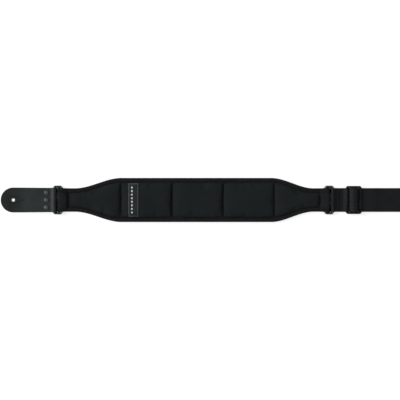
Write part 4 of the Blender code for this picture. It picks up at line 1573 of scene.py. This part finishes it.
class STRAP_OT_studio(bpy.types.Operator):
    """Set up the floor, lamps, white surround and camera"""

    bl_idname = "strap.studio"
    bl_label = "Studio"

    def seen(self, nodes):
        """1 where the camera or a reflection looks, 0 where light only bounces."""
        rays = nodes.add("ShaderNodeLightPath").outputs
        looked_at = nodes.math("MAXIMUM", rays["Is Camera Ray"], rays["Is Glossy Ray"])
        return nodes.math("MAXIMUM", looked_at, rays["Is Transmission Ray"])

    def floor(self):
        """A pale floor that is seen as white, apart from narrow gaps that no light reaches."""
        mesh = bmesh.new()
        bmesh.ops.create_circle(mesh, cap_ends=True, segments=96, radius=FLOOR_RADIUS)
        bmesh.ops.translate(mesh, vec=(0, 0, -FLOOR_BELOW), verts=mesh.verts)
        material = bpy.data.materials.new("pale studio floor")
        material.use_nodes = True
        nodes = Nodes(material.node_tree)
        paint = nodes.tree.nodes["Principled BSDF"]
        nodes.fill(paint, {"Base_Color": (0.8, 0.8, 0.8, 1.0), "Roughness": 1.0, "Specular_IOR_Level": 0.0})
        open_sky = nodes.add("ShaderNodeAmbientOcclusion", Distance=FLOOR_SHADE_REACH).outputs["AO"]
        reflects = nodes.fit(open_sky, FLOOR_SHADED, FLOOR_CLEAR, 0.0, FLOOR_REFLECTS)
        glows = nodes.fit(open_sky, FLOOR_SHADED, FLOOR_CLEAR, 0.0, FLOOR_GLOWS)
        white = nodes.add("ShaderNodeAddShader")
        nodes.join(white.inputs[0], nodes.add("ShaderNodeBsdfDiffuse", Color=reflects).outputs[0])
        nodes.join(white.inputs[1], nodes.add("ShaderNodeEmission", Strength=glows).outputs[0])
        chosen = nodes.add("ShaderNodeMixShader", Fac=self.seen(nodes))
        nodes.join(chosen.inputs[1], paint.outputs[0])
        nodes.join(chosen.inputs[2], white.outputs[0])
        nodes.join(nodes.tree.nodes["Material Output"].inputs["Surface"], chosen.outputs[0])
        made = piece("studio_floor", mesh, material)

    def surround(self, scene, strength):
        world = bpy.data.worlds.new("white surround")
        world.use_nodes = True
        scene.world = world
        nodes = Nodes(world.node_tree)
        level = nodes.fit(self.seen(nodes), 0.0, 1.0, strength, 1.0)
        nodes.fill(nodes.tree.nodes["Background"], {"Color": (*WHITE, 1.0), "Strength": level})

    def lamp(self, scene, name, place, power, size):
        data = bpy.data.lights.new(name, "AREA")
        data.shape = "DISK"
        data.size = size
        data.energy = power
        made = bpy.data.objects.new(name, data)
        scene.collection.objects.link(made)
        made.location = place
        aim = Vector((scene.strap_studio.picture_x, 0, 0)) - Vector(place)
        made.rotation_euler = aim.to_track_quat("-Z", "Y").to_euler()

    def execute(self, context):
        scene = context.scene
        studio = scene.strap_studio
        self.floor()
        self.surround(scene, studio.sky)
        self.lamp(scene, "key lamp", KEY_PLACE, studio.key, KEY_SIZE)
        self.lamp(scene, "fill lamp", FILL_PLACE, studio.fill, FILL_SIZE)
        data = bpy.data.cameras.new("picture camera")
        data.lens = studio.lens
        data.sensor_width = SENSOR
        data.clip_end = FURTHEST_SEEN
        camera = bpy.data.objects.new("picture camera", data)
        scene.collection.objects.link(camera)
        distance = studio.frame_width * studio.lens / SENSOR
        camera.location = (studio.picture_x, 0.0, distance + SHARP_Z)
        scene.camera = camera
        scene.view_settings.view_transform = "Standard"
        return {"FINISHED"}


class STRAP_PT_panel(bpy.types.Panel):
    """Lists the strap's pieces in the order they are made"""

    bl_idname = "STRAP_PT_panel"
    bl_label = "Padded Strap"
    bl_space_type = "VIEW_3D"
    bl_region_type = "UI"
    bl_category = "Strap"

    def draw(self, context):
        for group in (context.scene.strap_sizes, context.scene.strap_colours, context.scene.strap_studio):
            box = self.layout.box()
            for name in group.__annotations__:
                box.prop(group, name)
        for step in OPERATORS:
            self.layout.operator(step.bl_idname)


OPERATORS = [
    STRAP_OT_studio,
    STRAP_OT_leather_tabs,
    STRAP_OT_rivets,
    STRAP_OT_rings,
    STRAP_OT_pad,
    STRAP_OT_pad_loops,
    STRAP_OT_bindings,
    STRAP_OT_label,
    STRAP_OT_webbing,
    STRAP_OT_slider,
    STRAP_OT_stitching,
]
GROUPS = {"strap_sizes": StrapSizes, "strap_colours": StrapColours, "strap_studio": StrapStudio}
CLASSES = [*GROUPS.values(), *OPERATORS, STRAP_PT_panel]


def register():
    for made in CLASSES:
        bpy.utils.register_class(made)
    for name, group in GROUPS.items():
        setattr(bpy.types.Scene, name, bpy.props.PointerProperty(type=group))


def unregister():
    for name in GROUPS:
        delattr(bpy.types.Scene, name)
    for made in reversed(CLASSES):
        bpy.utils.unregister_class(made)


def main():
    register()
    bpy.ops.strap.studio()
    bpy.ops.strap.leather_tabs()
    bpy.ops.strap.rivets()
    bpy.ops.strap.rings()
    bpy.ops.strap.pad()
    bpy.ops.strap.pad_loops()
    bpy.ops.strap.bindings()
    bpy.ops.strap.label()
    bpy.ops.strap.webbing()
    bpy.ops.strap.slider()
    bpy.ops.strap.stitching()


if __name__ == "__main__":
    main()
